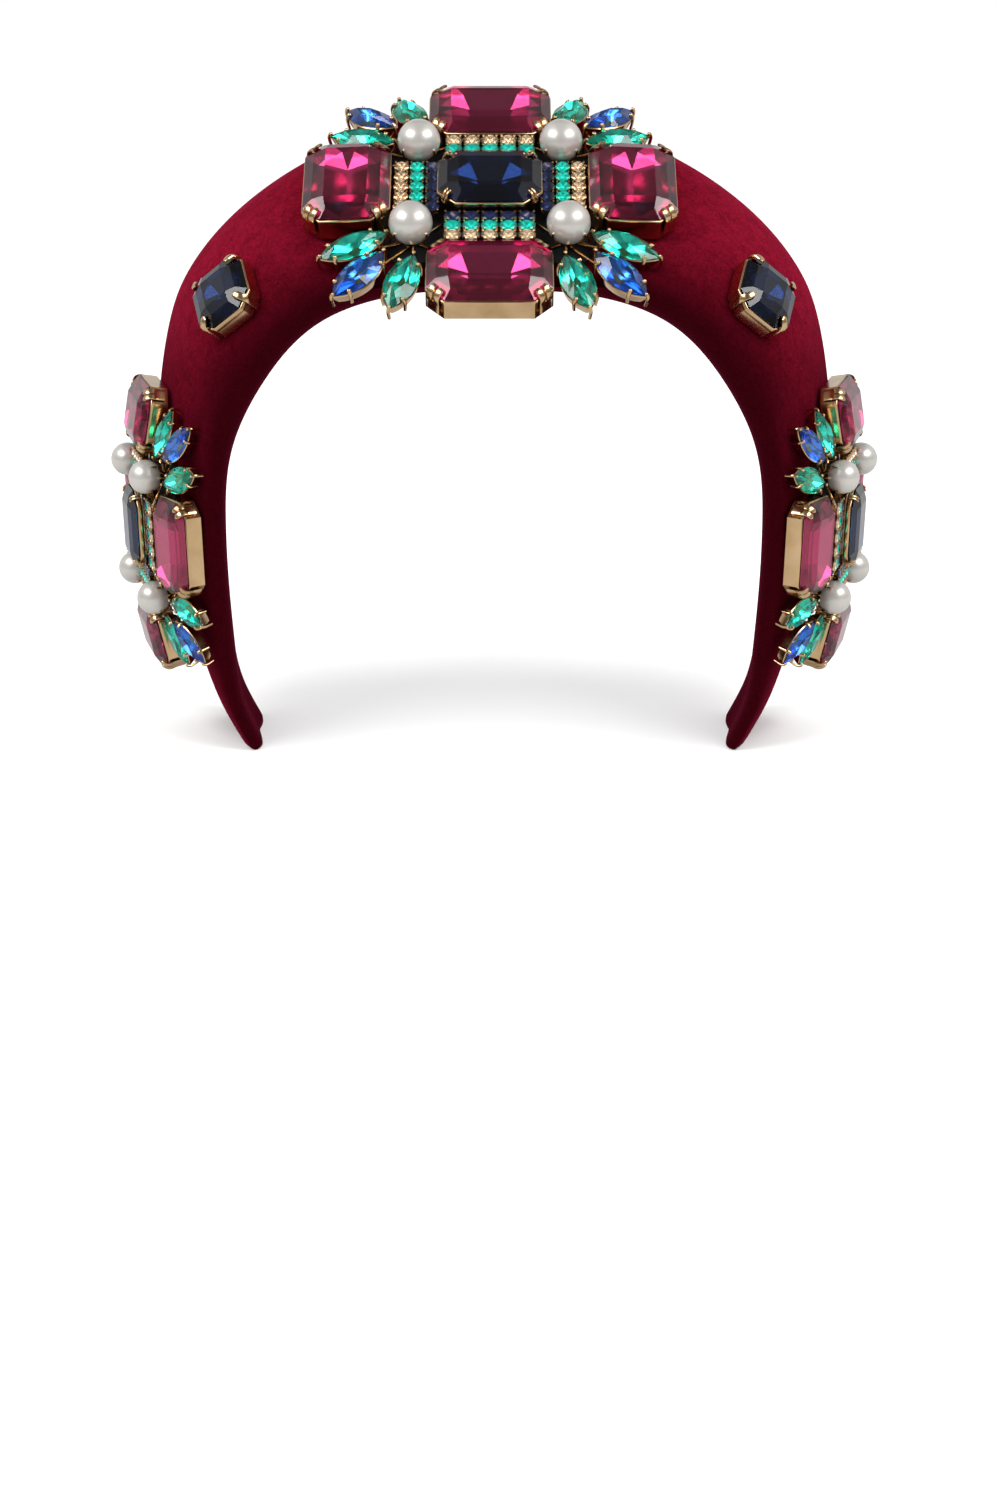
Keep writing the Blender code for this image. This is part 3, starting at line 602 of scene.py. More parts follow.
class Motif:
    """A group of stones on a gently bent seat, at its own size."""

    def __init__(self, name, place, scale, bend, labels):
        self.name = name
        self.place = place @ Matrix.Scale(scale, 4)
        self.bend = bend
        self.labels = labels

    def seat(self, u, v, lift=0.0, turn=0.0, lean=0.0, lean_to=0.0):
        """Matrix of a place on the seat, turned in it and leaning the given way, in degrees."""
        normal = Vector((u / self.bend[0], v / self.bend[1], 1.0)).normalized()
        away = math.tan(math.radians(lean))
        to = math.radians(lean_to)
        normal = (normal + Vector((away * math.cos(to), away * math.sin(to), 0))).normalized()
        drop = u * u / (2 * self.bend[0]) + v * v / (2 * self.bend[1])
        middle = Vector((u, v, -drop)) + normal * lift
        angle = math.radians(turn)
        return self.place @ frame_of(middle, normal, (math.cos(angle), math.sin(angle), 0))

    def octagons(self):
        """Name, place and cut of each of the five large stones."""
        for place, u, v, turn, lean in OCTAGONS:
            seat = self.seat(u, v, 0.0, turn, lean, 180.0 if u < 0 else 0.0)
            if place == "middle":
                yield place, seat, NAVY
            else:
                yield self.labels[place], seat, RUBY

    def corners(self):
        """Which way each corner lies across and along, and its name."""
        for sign_u in (-1, 1):
            for sign_v in (-1, 1):
                yield sign_u, sign_v, f"{self.labels[('v', sign_v)]}_{self.labels[('u', sign_u)]}"

    def pearl_place(self, sign_u, sign_v, lift=0.0):
        u, v = PEARL_PLACES[sign_v]
        return self.seat(sign_u * u, sign_v * v, lift)

    def marquise_places(self):
        """Corner, name and place of each marquise."""
        for sign_u, sign_v, label in self.corners():
            for row, front_u, front_v, back_u, back_v, points_to, lean in MARQUISES:
                u, v = (front_u, front_v) if sign_v < 0 else (back_u, back_v)
                angle = math.radians(points_to)
                turn = math.degrees(math.atan2(sign_v * math.sin(angle), sign_u * math.cos(angle)))
                yield label, row, self.seat(sign_u * u, sign_v * v, -MARQUISE_DROP, turn, lean, turn)


front_back = {("v", -1): "front", ("v", 1): "back"}
left_right = {("u", -1): "left", ("u", 1): "right"}
scale, bend = CENTRE_MOTIF["scale"], CENTRE_MOTIF["bend"]
motifs = [Motif("centre", centre_frame(), scale, bend, front_back | left_right)]
scale, bend = SIDE_MOTIF["scale"], SIDE_MOTIF["bend"]
for side, side_name in ((-1, "left"), (1, "right")):
    labels = front_back | {("u", -side): "upper", ("u", side): "lower"}
    motifs.append(Motif(side_name, side_frame(side), scale, bend, labels))


class Work:
    """Closed shapes gathered for one piece, each placed by a matrix."""

    def __init__(self):
        self.points = []
        self.faces = []
        self.finishes = []
        self.count = 0

    def add(self, points, place, faces_of):
        """Points placed by a matrix, and the faces on them by the number of their finish."""
        matrix = np.array(place)
        self.points.append(np.asarray(points, float) @ matrix[:3, :3].T + matrix[:3, 3])
        for number, faces in faces_of.items():
            self.faces += [tuple(i + self.count for i in face) for face in faces]
            self.finishes += [number] * len(faces)
        self.count += len(points)

    def loft(self, rings, place, number=0):
        self.add(np.vstack(rings), place, {number: loft_faces(len(rings), len(rings[0]))})

    def piece(self, name, materials, smooth_angle=None):
        """The shapes as one object, with edges sharper than the angle left sharp."""
        mesh = mesh_from(name, np.vstack(self.points), self.faces)
        for made in materials:
            mesh.materials.append(made)
        mesh.polygons.foreach_set("material_index", self.finishes)
        if smooth_angle:
            mesh.shade_smooth()
            mesh.set_sharp_from_angle(angle=math.radians(smooth_angle))
        return bpy.data.objects.new(name, mesh)


def octagon(length, width, corner, height, inset=0.0):
    """An oblong with cut corners, moved in by inset on every side."""
    half_l, half_w = length / 2 - inset, width / 2 - inset
    cut = max(corner - inset * (2 - math.sqrt(2)), LEAST_CORNER)
    quarter = [(half_l, half_w - cut), (half_l - cut, half_w)]
    outline = quarter + [(-u, v) for u, v in quarter[::-1]]
    outline += [(-u, -v) for u, v in outline]
    return np.array([(u, v, height) for u, v in outline])


def box_setting(work, cut, place):
    """A tray of sheet metal with a rounded rim; the middle one flares out above the small stones round it."""
    foot, low, high = cut["flare"], cut["floor"], cut["wall"]
    start, end = (high - below for below in FLARE_BELOW_RIM)
    profile = [  # height and how far in from the widest part of the rim, up the outside
        (low, foot + BOX_EDGE[0]),
        (low + BOX_EDGE[1], foot + WALL_INSET),
        (start, foot + WALL_INSET),
        (end, WALL_INSET),
    ]
    for angle in RIM_ARC:
        turn = math.radians(angle)
        profile.append((high - RIM + RIM * math.sin(turn), WALL_THICK / 2 * (1 - math.cos(turn))))
    profile += [  # and down the inside
        (end + FLARE_LIFT, WALL_THICK),
        (start + FLARE_LIFT, WALL_THICK + foot),
        (low + BOX_FLOOR_THICK, WALL_THICK + foot),
    ]
    sizes = cut["length"], cut["width"], cut["corner"]
    work.loft([octagon(*sizes, height, inset) for height, inset in profile], place)


def circle(sides, turn=0.0):
    """Cosine and sine of the corners of a regular outline."""
    angles = [turn + 2 * math.pi * i / sides for i in range(sides)]
    return [(math.cos(angle), math.sin(angle)) for angle in angles]


def round_ring(sides, radius, height, turn=0.0):
    """Points of a regular outline at one height, turned by a share of a side."""
    corners = circle(sides, turn * 2 * math.pi / sides)
    return [(radius * cosine, radius * sine, height) for cosine, sine in corners]


def strap(work, line, widths, place, across=0.0):
    """A bar with rounded edges along a line in a claw's plane; each point is inwards, up and thickness."""
    rings = []
    ways = np.gradient(line[:, :2], axis=0)
    ways /= np.linalg.norm(ways, axis=1, keepdims=True)
    across = np.broadcast_to(across, len(line))
    for (x, z, thick), (dx, dz), width, aside in zip(line, ways, widths, across):
        ring = []
        for cosine, sine in circle(BAR_SIDES):
            side = width / 2 * np.sign(cosine) * abs(cosine) ** BAR_SQUARENESS
            out = thick / 2 * np.sign(sine) * abs(sine) ** BAR_SQUARENESS
            ring.append((-(x - dz * out), side + aside, z + dx * out))
        rings.append(ring)
    work.loft(rings, place)


def claw_places(cut):
    """The middle of each cut corner, with the way outwards along X."""
    back = cut["corner"] / 2
    for sign_u in (-1, 1):
        for sign_v in (-1, 1):
            u, v = sign_u * (cut["length"] / 2 - back), sign_v * (cut["width"] / 2 - back)
            yield Matrix.Translation((u, v, 0)) @ Matrix.Rotation(math.atan2(sign_v, sign_u), 4, "Z")


def claw_line(cut):
    """A claw's middle line at the height of its box; over the stone it is shortened to the claw's reach."""
    line = np.array(CLAW_LINE)
    reach = cut["claw_reach"]
    line[:, 0] *= np.where(line[:, 0] > 0, reach, 1)
    line[:, 1] *= np.where(line[:, 1] > 0, (1 + reach) / 2, 1)
    line = spline(line, np.linspace(0, 1, CLAW_STEPS))
    line[:, 1] = np.maximum(line[:, 1], -cut["claw_leg"]) + cut["wall"]
    return line


def rounded_widths(width, count, start):
    """Widths along a bar that is rounded off from the given share of its length."""
    closed_at, least = BAR_END
    shares = np.clip((np.linspace(0, 1, count) - start) / (closed_at - start), 0, 1)
    return width * np.sqrt(np.maximum(1 - shares**2, least))


def split_claw(work, cut, place):
    """A broad claw: one leg up the wall, and two fingers over the corner of the stone."""
    line = claw_line(cut)
    width = cut["claw_width"]
    leg, fingers = line[: CLAW_STEPS // 2], line[CLAW_STEPS // 2 - FINGERS_START :]
    strap(work, leg, np.full(len(leg), width), place)
    waist = SPREAD_WAIST * np.sin(np.linspace(0, math.pi, len(fingers)))
    apart = width * SPREAD_SHARE * (1 - waist)
    widths = rounded_widths(width * FINGER_SHARE, len(fingers), FINGERS_ROUND_FROM)
    for side in (-1, 1):
        strap(work, fingers, widths, place, side * apart)


def marquise_outline(length, width, count=CUP_POINTS):
    """A pointed oval, as two arcs that meet in points, with the same number of points on each."""
    radius = (length * length / 4 + width * width / 4) / width
    half_angle = math.asin(length / 2 / radius)
    angles = np.linspace(half_angle, -half_angle, count // 2, endpoint=False)
    upper = np.column_stack([radius * np.sin(angles), radius * np.cos(angles) - (radius - width / 2)])
    return np.vstack([upper, -upper])


def flat_ring(outline, height):
    """A flat outline as points at one height."""
    return np.column_stack([outline, np.full(len(outline), height)])


def ball(radius, place=(0, 0, 0), sides=10, rings=6):
    """Rings of a ball, from its lowest to its highest."""
    made = []
    for r in range(rings + 1):
        tilt = math.pi * (r / rings - 0.5)
        small = max(math.cos(tilt), LEAST_RING) * radius
        x, y, height = place[0], place[1], place[2] + radius * math.sin(tilt)
        made.append([(x + small * cosine, y + small * sine, height) for cosine, sine in circle(sides)])
    return made


def marquise_cup(work, place):
    """The cup that holds a marquise, its four bead claws and the pointed claw over each end."""
    foot = marquise_outline(MARQUISE_LENGTH * CUP_FOOT[0], MARQUISE_WIDTH * CUP_FOOT[1])
    mouth = marquise_outline(MARQUISE_LENGTH, MARQUISE_WIDTH)
    lip = marquise_outline(MARQUISE_LENGTH - CUP_LIP[0], MARQUISE_WIDTH - CUP_LIP[1])
    rings = []
    for foot_share, mouth_share, lip_share, height in CUP_RINGS:
        rings.append(flat_ring(foot * foot_share + mouth * mouth_share + lip * lip_share, height))
    work.loft(rings, place)
    for end in (-1, 1):
        u = end * BEAD_CLAWS_AT * MARQUISE_LENGTH
        for side in (-1, 1):
            v = side * MARQUISE_WIDTH / 2 * (1 - (u / (MARQUISE_LENGTH / 2)) ** 2)
            outwards = math.atan2(v * BEAD_CLAW_WAY[1], u * BEAD_CLAW_WAY[0])
            bead_claw(work, place, (u, v), outwards, BEAD)
    for end in (-1, 1):
        bead_claw(work, place, (end * MARQUISE_LENGTH / 2, 0), math.atan2(0, end), BEAD * END_BEAD_SHARE)


def bead_claw(work, place, foot, outwards, bead):
    """A thin claw that stands against a cup's wall and ends in a bead on the stone."""
    turn = place @ Matrix.Translation((foot[0], foot[1], 0)) @ Matrix.Rotation(outwards, 4, "Z")
    line = [(inwards, share * CUP_HEIGHT + above, thick) for inwards, share, above, thick in BEAD_CLAW_LINE]
    line = spline(line, np.linspace(0, 1, BEAD_CLAW_STEPS))
    strap(work, line, np.linspace(*BEAD_CLAW_WIDTHS, BEAD_CLAW_STEPS), turn)
    work.loft(ball(bead, (BEAD_PLACE[0], 0, CUP_HEIGHT + BEAD_PLACE[1])), turn)


def wire(work, motif, start, end):
    """A round wire between two places on the seat."""
    middle = ((start[0] + end[0]) / 2, (start[1] + end[1]) / 2)
    half = math.dist(start, end) / 2
    turn = math.degrees(math.atan2(end[1] - start[1], end[0] - start[0]))
    section = [(WIRE_RADIUS * cosine, WIRE_LIFT + WIRE_RADIUS * sine) for cosine, sine in circle(WIRE_SIDES)]
    work.loft([[(x, y, z) for y, z in section] for x in (-half, half)], motif.seat(*middle, turn=turn))


def pearl_cup(work, place):
    """A shallow dish under a pearl, and four thin claws that reach up round it."""
    work.loft([round_ring(PEARL_CUP_SIDES, *sizes) for sizes in PEARL_CUP], place)
    line = spline(PEARL_CLAW_LINE, np.linspace(0, 1, PEARL_CLAW_STEPS))
    for angle in (45, 135, 225, 315):
        turn = place @ Matrix.Rotation(math.radians(angle), 4, "Z")
        strap(work, line, np.full(len(line), PEARL_CLAW_WIDTH), turn)


def plating_group():
    """A smooth hard surface, as of plating, glass or pearl: a slow change of tone and very fine scratches."""
    usual = {"Tone Scale": 160.0, "Scratch Scale": 3000.0, "Dullness": 0.2}
    group, given, out = shader_group("gold_plating", usual, ("Mask", "Height", "Roughness"))
    tone = noise_in(group, given.outputs["Tone Scale"], Detail=3.0)
    scratches = noise_in(group, given.outputs["Scratch Scale"], Detail=3.0)
    rough = math_in(group, "MULTIPLY_ADD", scratches, SCRATCH_ROUGHNESS, given.outputs["Dullness"])
    group.links.new(tone, out.inputs["Mask"])
    group.links.new(scratches, out.inputs["Height"])
    group.links.new(rough, out.inputs["Roughness"])
    return group


plating = plating_group()
gold = finish("pale_gold_plating", GOLD_PALE, roughness=0.2, metallic=1.0)
patterned(gold, plating, {"Dullness": 0.08}, GOLD_DEEP, GOLD_PALE, bump=0.12, bump_depth=0.00006)
gold_nodes = gold.node_tree.nodes
gold_group = next(node for node in gold_nodes if node.type == "GROUP")
gold.node_tree.links.new(gold_group.outputs["Roughness"], gold_nodes["Principled BSDF"].inputs["Roughness"])

for motif in motifs:
    work = Work()
    for label, seat, cut in motif.octagons():
        box_setting(work, cut, seat)
        for turn in claw_places(cut):
            split_claw(work, cut, seat @ turn)
    for label, row, seat in motif.marquise_places():
        marquise_cup(work, seat)
    for sign_u, sign_v, label in motif.corners():
        pearl_cup(work, motif.pearl_place(sign_u, sign_v))
        for start, end in WIRES:
            start, end = ((sign_u * u, sign_v * v) for u, v in (start, end))
            wire(work, motif, start, end)
    goldwork = work.piece(f"{motif.name}_goldwork", [gold], smooth_angle=GOLD_SMOOTH)
    put_in_scene(goldwork, "gold", f"{motif.name}_setting")

# Octagonal stones.
# Step-cut glass with cut corners, held in the boxes by the claws: a clear coloured crown, and a back in steps
# with a mirror foil that throws the light out again.
GLASS_IOR = 1.52
FOIL_ROUGHNESS = 0.16
FOIL_SHADE = 0.8  # how dark the foil gets in its darker places
STONE_INSET = 0.25
GIRDLE_LIFT = 0.25  # above the rim of the box
GIRDLE_THICK = 0.2
GIRDLE_SLOPE = 0.05
WAIST = 2.2  # from the girdle in to the side corners of the kites
KITE_LENGTHS = 1.3
SEAT_INSET = 0.25  # between the wall and the back of the stone
SEAT_DROP = 0.35
BACK_STEP = (0.80, 0.62, 0.55)  # shares of the back's length, width and depth at the edge between two steps
BACK_ABOVE_FLOOR = 1.3
KEEL_MORE = 0.6  # the keel is this much longer at each end than the stone's ridge would be
LEAST_KEEL = 0.4
GLASS, FOIL = 0, 1  # numbers of a stone's finishes, in the order in which gem gives them


def gem(name, crown_colour, crown_light, foil_colour, foil_roughness=FOIL_ROUGHNESS):
    """The clear front of a stone and its foiled back."""
    crown = finish(f"{name}_glass", crown_colour, roughness=0.0, Transmission_Weight=1.0, IOR=GLASS_IOR)
    patterned(crown, plating, {"Tone Scale": 90.0}, crown_colour, crown_light)
    foil = finish(f"{name}_foil", foil_colour, foil_roughness, metallic=1.0)
    foil_dark = [part * FOIL_SHADE for part in foil_colour]
    patterned(foil, plating, {"Tone Scale": 240.0}, foil_dark, foil_colour)
    return crown, foil


def octagon_stone(work, cut, place):
    """Kites at the corners, two facets on each side up to the table, and a foiled back down to a keel."""
    length, width = cut["length"] - 2 * STONE_INSET, cut["width"] - 2 * STONE_INSET
    corner, table = cut["corner"], cut["table"]
    girdle = cut["wall"] + GIRDLE_LIFT
    low = girdle + GIRDLE_THICK
    steep = cut["rise"] / (table - corner / 2)
    waist_cut = corner + KITE_LENGTHS - WAIST
    waist_height = low + steep * (WAIST + KITE_LENGTHS) / 2
    depth = girdle - cut["floor"] - BACK_ABOVE_FLOOR
    seat_length, seat_width = (cut[size] - 2 * (WALL_THICK + SEAT_INSET) for size in ("length", "width"))
    step_length, step_width, step_depth = BACK_STEP
    rim = octagon(length, width, corner, low)
    rings = [
        octagon(length - 2 * WAIST, width - 2 * WAIST, waist_cut, waist_height),
        rim,
        octagon(length - 2 * GIRDLE_SLOPE, width - 2 * GIRDLE_SLOPE, corner, girdle),
        octagon(seat_length, seat_width, corner, girdle - SEAT_DROP),
        octagon(seat_length * step_length, seat_width * step_width, corner, girdle - depth * step_depth),
    ]
    top_u, top_v, high = length / 2 - table, width / 2 - table, low + cut["rise"]
    top = [(top_u, top_v, high), (-top_u, top_v, high), (-top_u, -top_v, high), (top_u, -top_v, high)]
    tips = [(rim[2 * q] + rim[2 * q + 1]) / 2 for q in range(4)]
    half_keel = max((cut["length"] - cut["width"]) / 2 + KEEL_MORE, LEAST_KEEL)
    keel = [(half_keel, 0, girdle - depth), (-half_keel, 0, girdle - depth)]
    points = np.vstack(rings + [top, tips, keel])
    step_at, top_at = 4 * 8, 5 * 8
    tip_at, keel_at = top_at + 4, top_at + 8
    clear = [tuple(range(top_at, tip_at))]
    for q in range(4):
        near, far = 2 * q, 2 * q + 1
        after = (near + 2) % 8
        here, there, tip = top_at + q, top_at + (q + 1) % 4, tip_at + q
        clear += [(here, far, after, there), (far, far + 8, after + 8, after), (here, near, tip, far)]
        clear += [(near, near + 8, tip), (far, tip, far + 8)]
        clear += [(near + 8, near + 16, far + 16, far + 8, tip), (far + 8, far + 16, after + 16, after + 8)]
    foiled = ring_faces(step_at - 16, step_at - 8, 8) + ring_faces(step_at - 8, step_at, 8)
    for i in range(8):
        j = (i + 1) % 8
        end_i, end_j = (keel_at if points[step_at + k][0] > 0 else keel_at + 1 for k in (i, j))
        foiled.append((step_at + i, end_i, step_at + j))
        if end_i != end_j:
            foiled.append((step_at + j, end_i, end_j))
    work.add(points, place, {GLASS: clear, FOIL: foiled})


ruby = gem("ruby", (0.68, 0.10, 0.27), (0.76, 0.14, 0.33), (0.74, 0.28, 0.44))
navy = gem("navy", (0.05, 0.085, 0.20), (0.08, 0.14, 0.30), (0.06, 0.12, 0.24))
for motif in motifs:
    for label, seat, cut in motif.octagons():
        work = Work()
        octagon_stone(work, cut, seat)
        slot, finishes = ("navy", navy) if label == "middle" else ("ruby", ruby)
        stone = work.piece(f"{motif.name}_gem_{label}", finishes)
        put_in_scene(stone, slot, f"{motif.name}_stone_{label}")

# Marquise stones.
# Pointed ovals of foiled glass, set three to a corner, green, blue and green: a small table, long facets
# round it, and facets behind that meet in one point.
MARQUISE_LIFT = 0.1  # above the lip of the cup
MARQUISE_TABLE = (0.54, 0.46)  # share of the stone's length and width
MARQUISE_SEAT = (1.4, 1.2, 0.5)  # how much shorter, narrower and lower the stone is where it sits in the cup
MARQUISE_CROWN = 1.7
MARQUISE_GIRDLE = 0.2
MARQUISE_BACK = 2.7
RIM_POINTS = 18
FACETS = 6  # crown facets round a marquise's table, and as many behind


def marquise_stone(work, place):
    """A marquise, with its clear crown down to the girdle and its foiled back."""
    length, width = MARQUISE_LENGTH - 2 * MARQUISE_RIM, MARQUISE_WIDTH - 2 * MARQUISE_RIM
    low = CUP_HEIGHT + MARQUISE_LIFT
    high = low + MARQUISE_GIRDLE
    table = marquise_outline(length * MARQUISE_TABLE[0], width * MARQUISE_TABLE[1], FACETS)
    rim = marquise_outline(length, width, RIM_POINTS)
    shorter, narrower, lower = MARQUISE_SEAT
    seat = marquise_outline(length - shorter, width - narrower, RIM_POINTS)
    rings = [flat_ring(rim, high), flat_ring(rim, low), flat_ring(seat, low - lower)]
    points = np.vstack(rings + [flat_ring(table, high + MARQUISE_CROWN), [(0, 0, low - MARQUISE_BACK)]])
    first, bottom = 3 * RIM_POINTS, 3 * RIM_POINTS + FACETS
    clear, foiled = [tuple(range(first, bottom))], []
    step = RIM_POINTS // FACETS
    for i in range(FACETS):
        along = [(step * i + k) % RIM_POINTS for k in range(step + 1)]
        clear.append((*along, first + (i + 1) % FACETS, first + i))
        foiled.append((*(2 * RIM_POINTS + k for k in along), bottom))
    clear += ring_faces(0, RIM_POINTS, RIM_POINTS)
    foiled += ring_faces(RIM_POINTS, 2 * RIM_POINTS, RIM_POINTS)
    work.add(points, place, {GLASS: clear, FOIL: foiled})


emerald = gem("emerald", (0.15, 0.88, 0.74), (0.21, 0.95, 0.86), (0.19, 0.90, 0.76))
sapphire = gem("sapphire", (0.22, 0.50, 0.88), (0.30, 0.60, 0.96), (0.20, 0.43, 0.90))
centre, left, right = motifs
for label, row, seat in centre.marquise_places():
    work = Work()
    marquise_stone(work, seat)
    slot, finishes = ("sapphire", sapphire) if row == "b" else ("emerald", emerald)
    stone = work.piece(f"centre_leaf_{label}_{row}", finishes)
    put_in_scene(stone, slot, f"centre_marquise_{label}_{row}")
for motif in (left, right):
    for slot, rows, finishes in (("emerald", "ac", emerald), ("sapphire", "b", sapphire)):
        work = Work()
        for label, row, seat in motif.marquise_places():
            if row in rows:
                marquise_stone(work, seat)
        put_in_scene(work.piece(f"{motif.name}_leaves_{slot}", finishes), slot)

# Pearls.
# Imitation pearls at the inner corners of a motif: glass beads with a creamy pearl coat, glued in their cups.
PEARL_DARK = (0.46, 0.435, 0.40)
PEARL_LIGHT = (0.54, 0.515, 0.485)
PEARL_SIDES = 40
PEARL_RINGS = 28

pearl_coat = finish(
    "pearl_coat",
    PEARL_LIGHT,
    roughness=0.32,
    metallic=0.50,
    Coat_Weight=0.7,
    Coat_Roughness=0.2,
    Coat_IOR=1.6,
    Specular_IOR_Level=0.6,
)
patterned(pearl_coat, plating, {"Tone Scale": 260.0}, PEARL_DARK, PEARL_LIGHT, bump=0.05, bump_depth=0.00005)
for motif in motifs:
    for sign_u, sign_v, label in motif.corners():
        work = Work()
        bead = ball(PEARL_RADIUS, sides=PEARL_SIDES, rings=PEARL_RINGS)
        work.loft(bead, motif.pearl_place(sign_u, sign_v, PEARL_LIFT))
        pearl = work.piece(f"{motif.name}_bead_{label}", [pearl_coat], smooth_angle=60)
        put_in_scene(pearl, "pearl", f"{motif.name}_pearl_{label}")

# Rows of small round stones.
# Cup chain soldered on each side of the middle stone: three rows of five foiled stones, navy, green and
# champagne outwards, each in a small brass cup with four bead claws.
ROW_FINISHES = (
    gem("small_navy", (0.14, 0.18, 0.36), (0.20, 0.25, 0.46), (0.21, 0.27, 0.44), 0.30),
    gem("small_green", (0.08, 0.92, 0.82), (0.13, 0.97, 0.90), (0.13, 0.93, 0.82), 0.30),
    gem("small_champagne", (1.0, 0.90, 0.76), (1.0, 0.95, 0.84), (0.99, 0.84, 0.66), 0.22),
)
STONES_IN_ROW = 5
ROW_SIDES = (
    # turn, start of the first row, from row to row, from stone to stone
    (90.0, 9.7, 3.6, 4.4),
    (0.0, 11.9, 3.75, 3.9),
)
FIELD_TOP = 2.9
SMALL_RADIUS = 1.84
SMALL_SIDES = 10
SMALL_RINGS = (
    # radius, height, turn in steps: girdle, shoulder and table of a small stone
    (SMALL_RADIUS, 0.75, 0.0),
    (SMALL_RADIUS * 0.82, 1.08, 0.5),
    (SMALL_RADIUS * 0.56, 1.28, 0.0),
)
SMALL_POINT = -0.35  # height of the point behind it
SMALL_CUP = (
    # radius, height
    (SMALL_RADIUS * 0.9, -0.6),
    (SMALL_RADIUS - 0.04, 0.3),
    (SMALL_RADIUS - 0.04, 0.66),
    (SMALL_RADIUS - 0.2, 0.64),
    (SMALL_RADIUS * 0.6, -0.45),
)
SMALL_BEAD = (0.32, 0.12, 0.95)  # radius of a bead claw, how far it stands outside the stone, and height
SMALL_BEAD_SHAPE = (6, 4)  # sides and rings
METAL = 2  # number of the finish of a small stone's cup


def small_stone():
    """One round stone in its cup with four bead claws."""
    work = Work()
    girdle, shoulder, table = (round_ring(SMALL_SIDES, *sizes) for sizes in SMALL_RINGS)
    points = girdle + shoulder + table + [(0, 0, SMALL_POINT)]
    shoulder_at, table_at, point_at = SMALL_SIDES, 2 * SMALL_SIDES, 3 * SMALL_SIDES
    crown = [tuple(range(table_at, point_at))]
    back = []
    for i in range(SMALL_SIDES):
        j = (i + 1) % SMALL_SIDES
        crown += [(i, j, shoulder_at + i), (shoulder_at + i, j, shoulder_at + j)]
        crown.append((shoulder_at + i, shoulder_at + j, table_at + j))
        crown.append((shoulder_at + i, table_at + j, table_at + i))
        back.append((i, point_at, j))
    work.add(points, Matrix(), {GLASS: crown, FOIL: back})
    work.loft([round_ring(SMALL_SIDES, *sizes) for sizes in SMALL_CUP], Matrix(), METAL)
    radius, outside, height = SMALL_BEAD
    for cosine, sine in circle(4, math.radians(45)):
        away = SMALL_RADIUS + outside
        work.loft(ball(radius, (cosine * away, sine * away, height), *SMALL_BEAD_SHAPE), Matrix(), METAL)
    return work


def row_tree():
    """Geometry nodes: copies one stone along a straight row and gives each of its parts a material."""
    tree = bpy.data.node_groups.new("row_of_stones", "GeometryNodeTree")
    for label, kind in (
        ("Geometry", "Geometry"),
        ("Stone", "Object"),
        ("Count", "Int"),
        ("Pitch", "Float"),
        ("Stretch", "Float"),
        ("Glass", "Material"),
        ("Foil", "Material"),
        ("Metal", "Material"),
    ):
        tree.interface.new_socket(label, in_out="INPUT", socket_type=f"NodeSocket{kind}")
    tree.interface.new_socket("Geometry", in_out="OUTPUT", socket_type="NodeSocketGeometry")
    given, out = tree.nodes.new("NodeGroupInput"), tree.nodes.new("NodeGroupOutput")
    count, pitch = given.outputs["Count"], given.outputs["Pitch"]
    # The row is centred: its first stone is (1 - count) / 2 steps from the middle.
    first = math_in(tree, "MULTIPLY", math_in(tree, "MULTIPLY_ADD", count, -0.5, 0.5), pitch)
    start = node_in(tree, "ShaderNodeCombineXYZ", {"Y": first})
    step = node_in(tree, "ShaderNodeCombineXYZ", {"Y": pitch})
    places = {"Count": count, "Start Location": start.outputs[0], "Offset": step.outputs[0]}
    line = node_in(tree, "GeometryNodeMeshLine", places)
    source = node_in(tree, "GeometryNodeObjectInfo", {"Object": given.outputs["Stone"], "As Instance": True})
    wide = node_in(tree, "ShaderNodeCombineXYZ", {"X": 1.0, "Y": given.outputs["Stretch"], "Z": 1.0})
    row = {"Points": line.outputs["Mesh"], "Instance": source.outputs["Geometry"], "Scale": wide.outputs[0]}
    copies = node_in(tree, "GeometryNodeInstanceOnPoints", row)
    real = node_in(tree, "GeometryNodeRealizeInstances", {"Geometry": copies.outputs["Instances"]})
    last = real.outputs["Geometry"]
    for number, label in ((GLASS, "Glass"), (FOIL, "Foil"), (METAL, "Metal")):
        part = node_in(tree, "GeometryNodeInputNamedAttribute", {"Name": "part"}, data_type="INT")
        same = {"A": part.outputs["Attribute"], "B": number}
        same = node_in(tree, "FunctionNodeCompare", same, data_type="INT", operation="EQUAL")
        paint = {"Geometry": last, "Selection": same.outputs["Result"], "Material": given.outputs[label]}
        last = node_in(tree, "GeometryNodeSetMaterial", paint).outputs["Geometry"]
    tree.links.new(last, out.inputs["Geometry"])
    return tree


rows_of_stones = row_tree()
small_work = small_stone()
model_stone = small_work.piece("small_stone", [])
part = model_stone.data.attributes.new("part", "INT", "FACE")
part.data.foreach_set("value", small_work.finishes)
bpy.context.scene.collection.objects.link(model_stone)


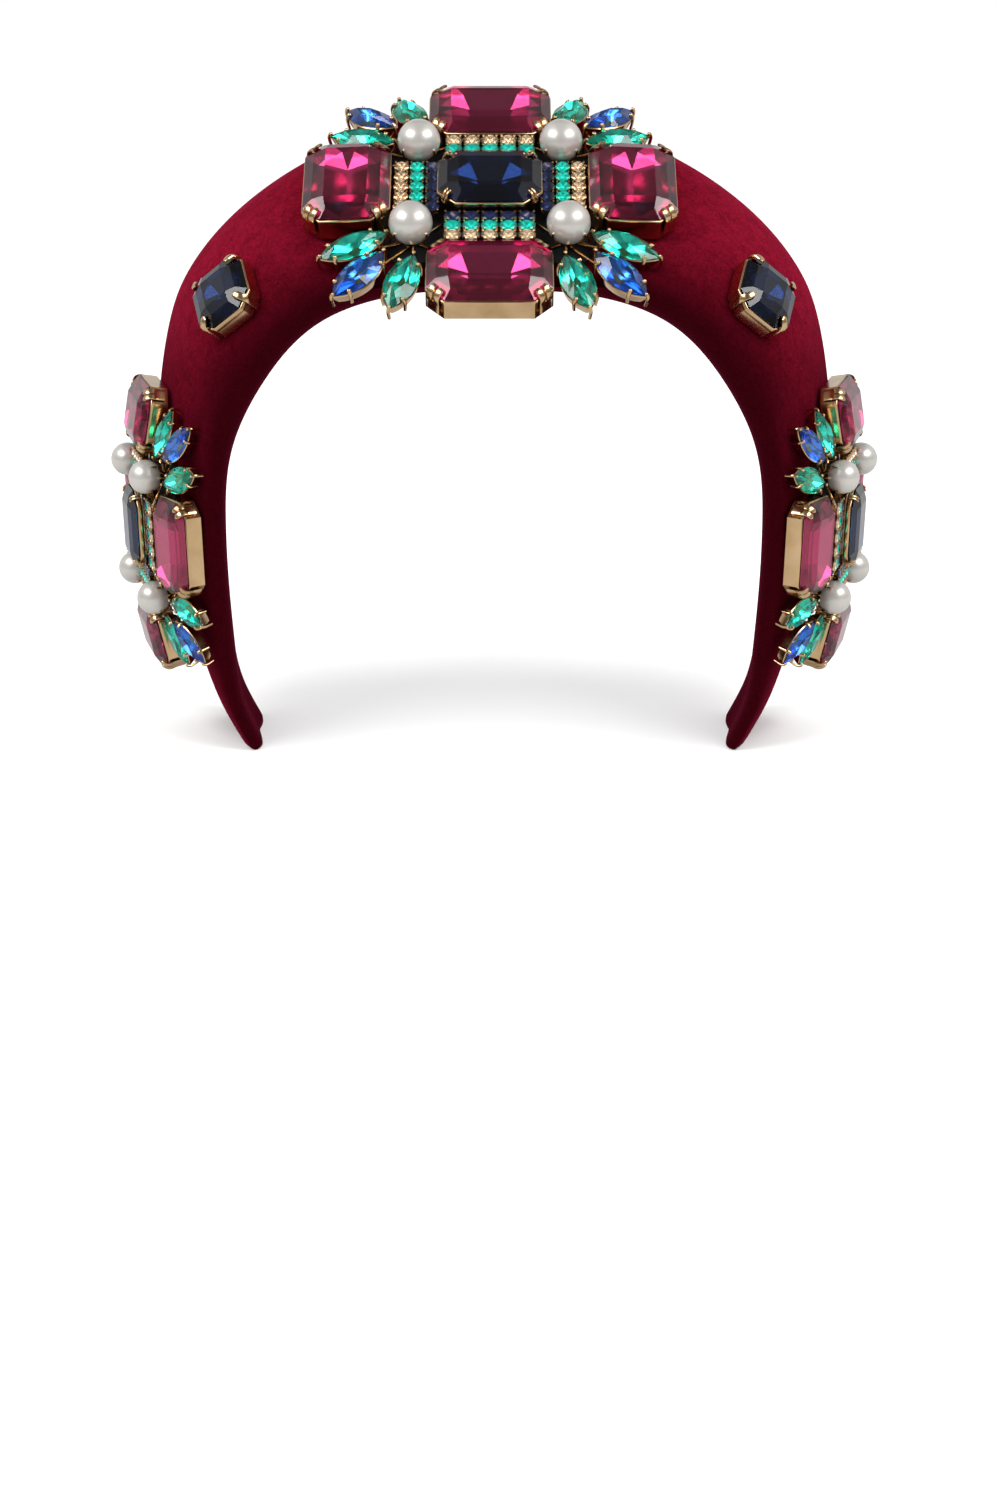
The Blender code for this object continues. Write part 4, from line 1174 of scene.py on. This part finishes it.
def row_of_stones(name, place, pitch, finishes):
    """One row as an object with plain mesh, placed by a matrix in millimetres."""
    holder = bpy.data.objects.new(name, bpy.data.meshes.new(name))
    bpy.context.scene.collection.objects.link(holder)
    maker = holder.modifiers.new("row", "NODES")
    maker.node_group = rows_of_stones
    glass, foil = finishes
    values = {
        "Stone": model_stone,
        "Count": STONES_IN_ROW,
        "Pitch": pitch * MM,
        "Stretch": pitch / (2 * SMALL_RADIUS),
        "Glass": glass,
        "Foil": foil,
        "Metal": gold,
    }
    for item in rows_of_stones.interface.items_tree:
        if item.in_out == "INPUT" and item.name in values:
            maker[item.identifier] = values[item.name]
    graph = bpy.context.evaluated_depsgraph_get()
    mesh = bpy.data.meshes.new_from_object(holder.evaluated_get(graph), depsgraph=graph)
    bpy.data.objects.remove(holder)
    mesh.transform(Matrix.Scale(MM, 4) @ place @ Matrix.Scale(1 / MM, 4))
    return bpy.data.objects.new(name, mesh)


for motif in motifs:
    rows = []
    for turn, start, row_pitch, pitch in ROW_SIDES:
        for side in (0, 180):
            seat = motif.place @ Matrix.Rotation(math.radians(turn + side), 4, "Z")
            for row, finishes in enumerate(ROW_FINISHES):
                across = start + (row + 0.5) * row_pitch
                place = seat @ Matrix.Translation((across, 0, FIELD_TOP))
                rows.append(row_of_stones(f"{motif.name}_row", place, pitch, finishes))
    for row in rows:
        bpy.context.scene.collection.objects.link(row)
    with bpy.context.temp_override(active_object=rows[0], selected_editable_objects=rows, object=rows[0]):
        bpy.ops.object.join()
    field = rows[0]
    field.name = f"{motif.name}_cup_chain"
    bpy.context.scene.collection.objects.unlink(field)
    put_in_scene(field, "crystal", f"{motif.name}_rhinestones")
bpy.data.objects.remove(model_stone)

# Single stones.
# A navy octagon of foiled glass in a gold box with four claws, sewn on each shoulder of the band, where it
# presses the velvet in.
SINGLE = dict(zip(BOX_SIZES + CLAW_SIZES, (16.0, 17.6, 3.6, 4.6, 0.0, 4.6, 2.5, 0.0, 1.7, 4.2, 1.0)))
CLAW_ROUND_FROM = 0.85

for side, side_name in ((-1, "left"), (1, "right")):
    place = single_frame(side)
    work = Work()
    box_setting(work, SINGLE, place)
    line = claw_line(SINGLE)
    widths = rounded_widths(SINGLE["claw_width"], len(line), CLAW_ROUND_FROM)
    for turn in claw_places(SINGLE):
        strap(work, line, widths, place @ turn)
    box = work.piece(f"{side_name}_single_box", [gold], smooth_angle=GOLD_SMOOTH)
    put_in_scene(box, "gold", f"{side_name}_single_setting")
    work = Work()
    octagon_stone(work, SINGLE, place)
    put_in_scene(work.piece(f"{side_name}_single_gem", navy), "navy", f"{side_name}_single_stone")
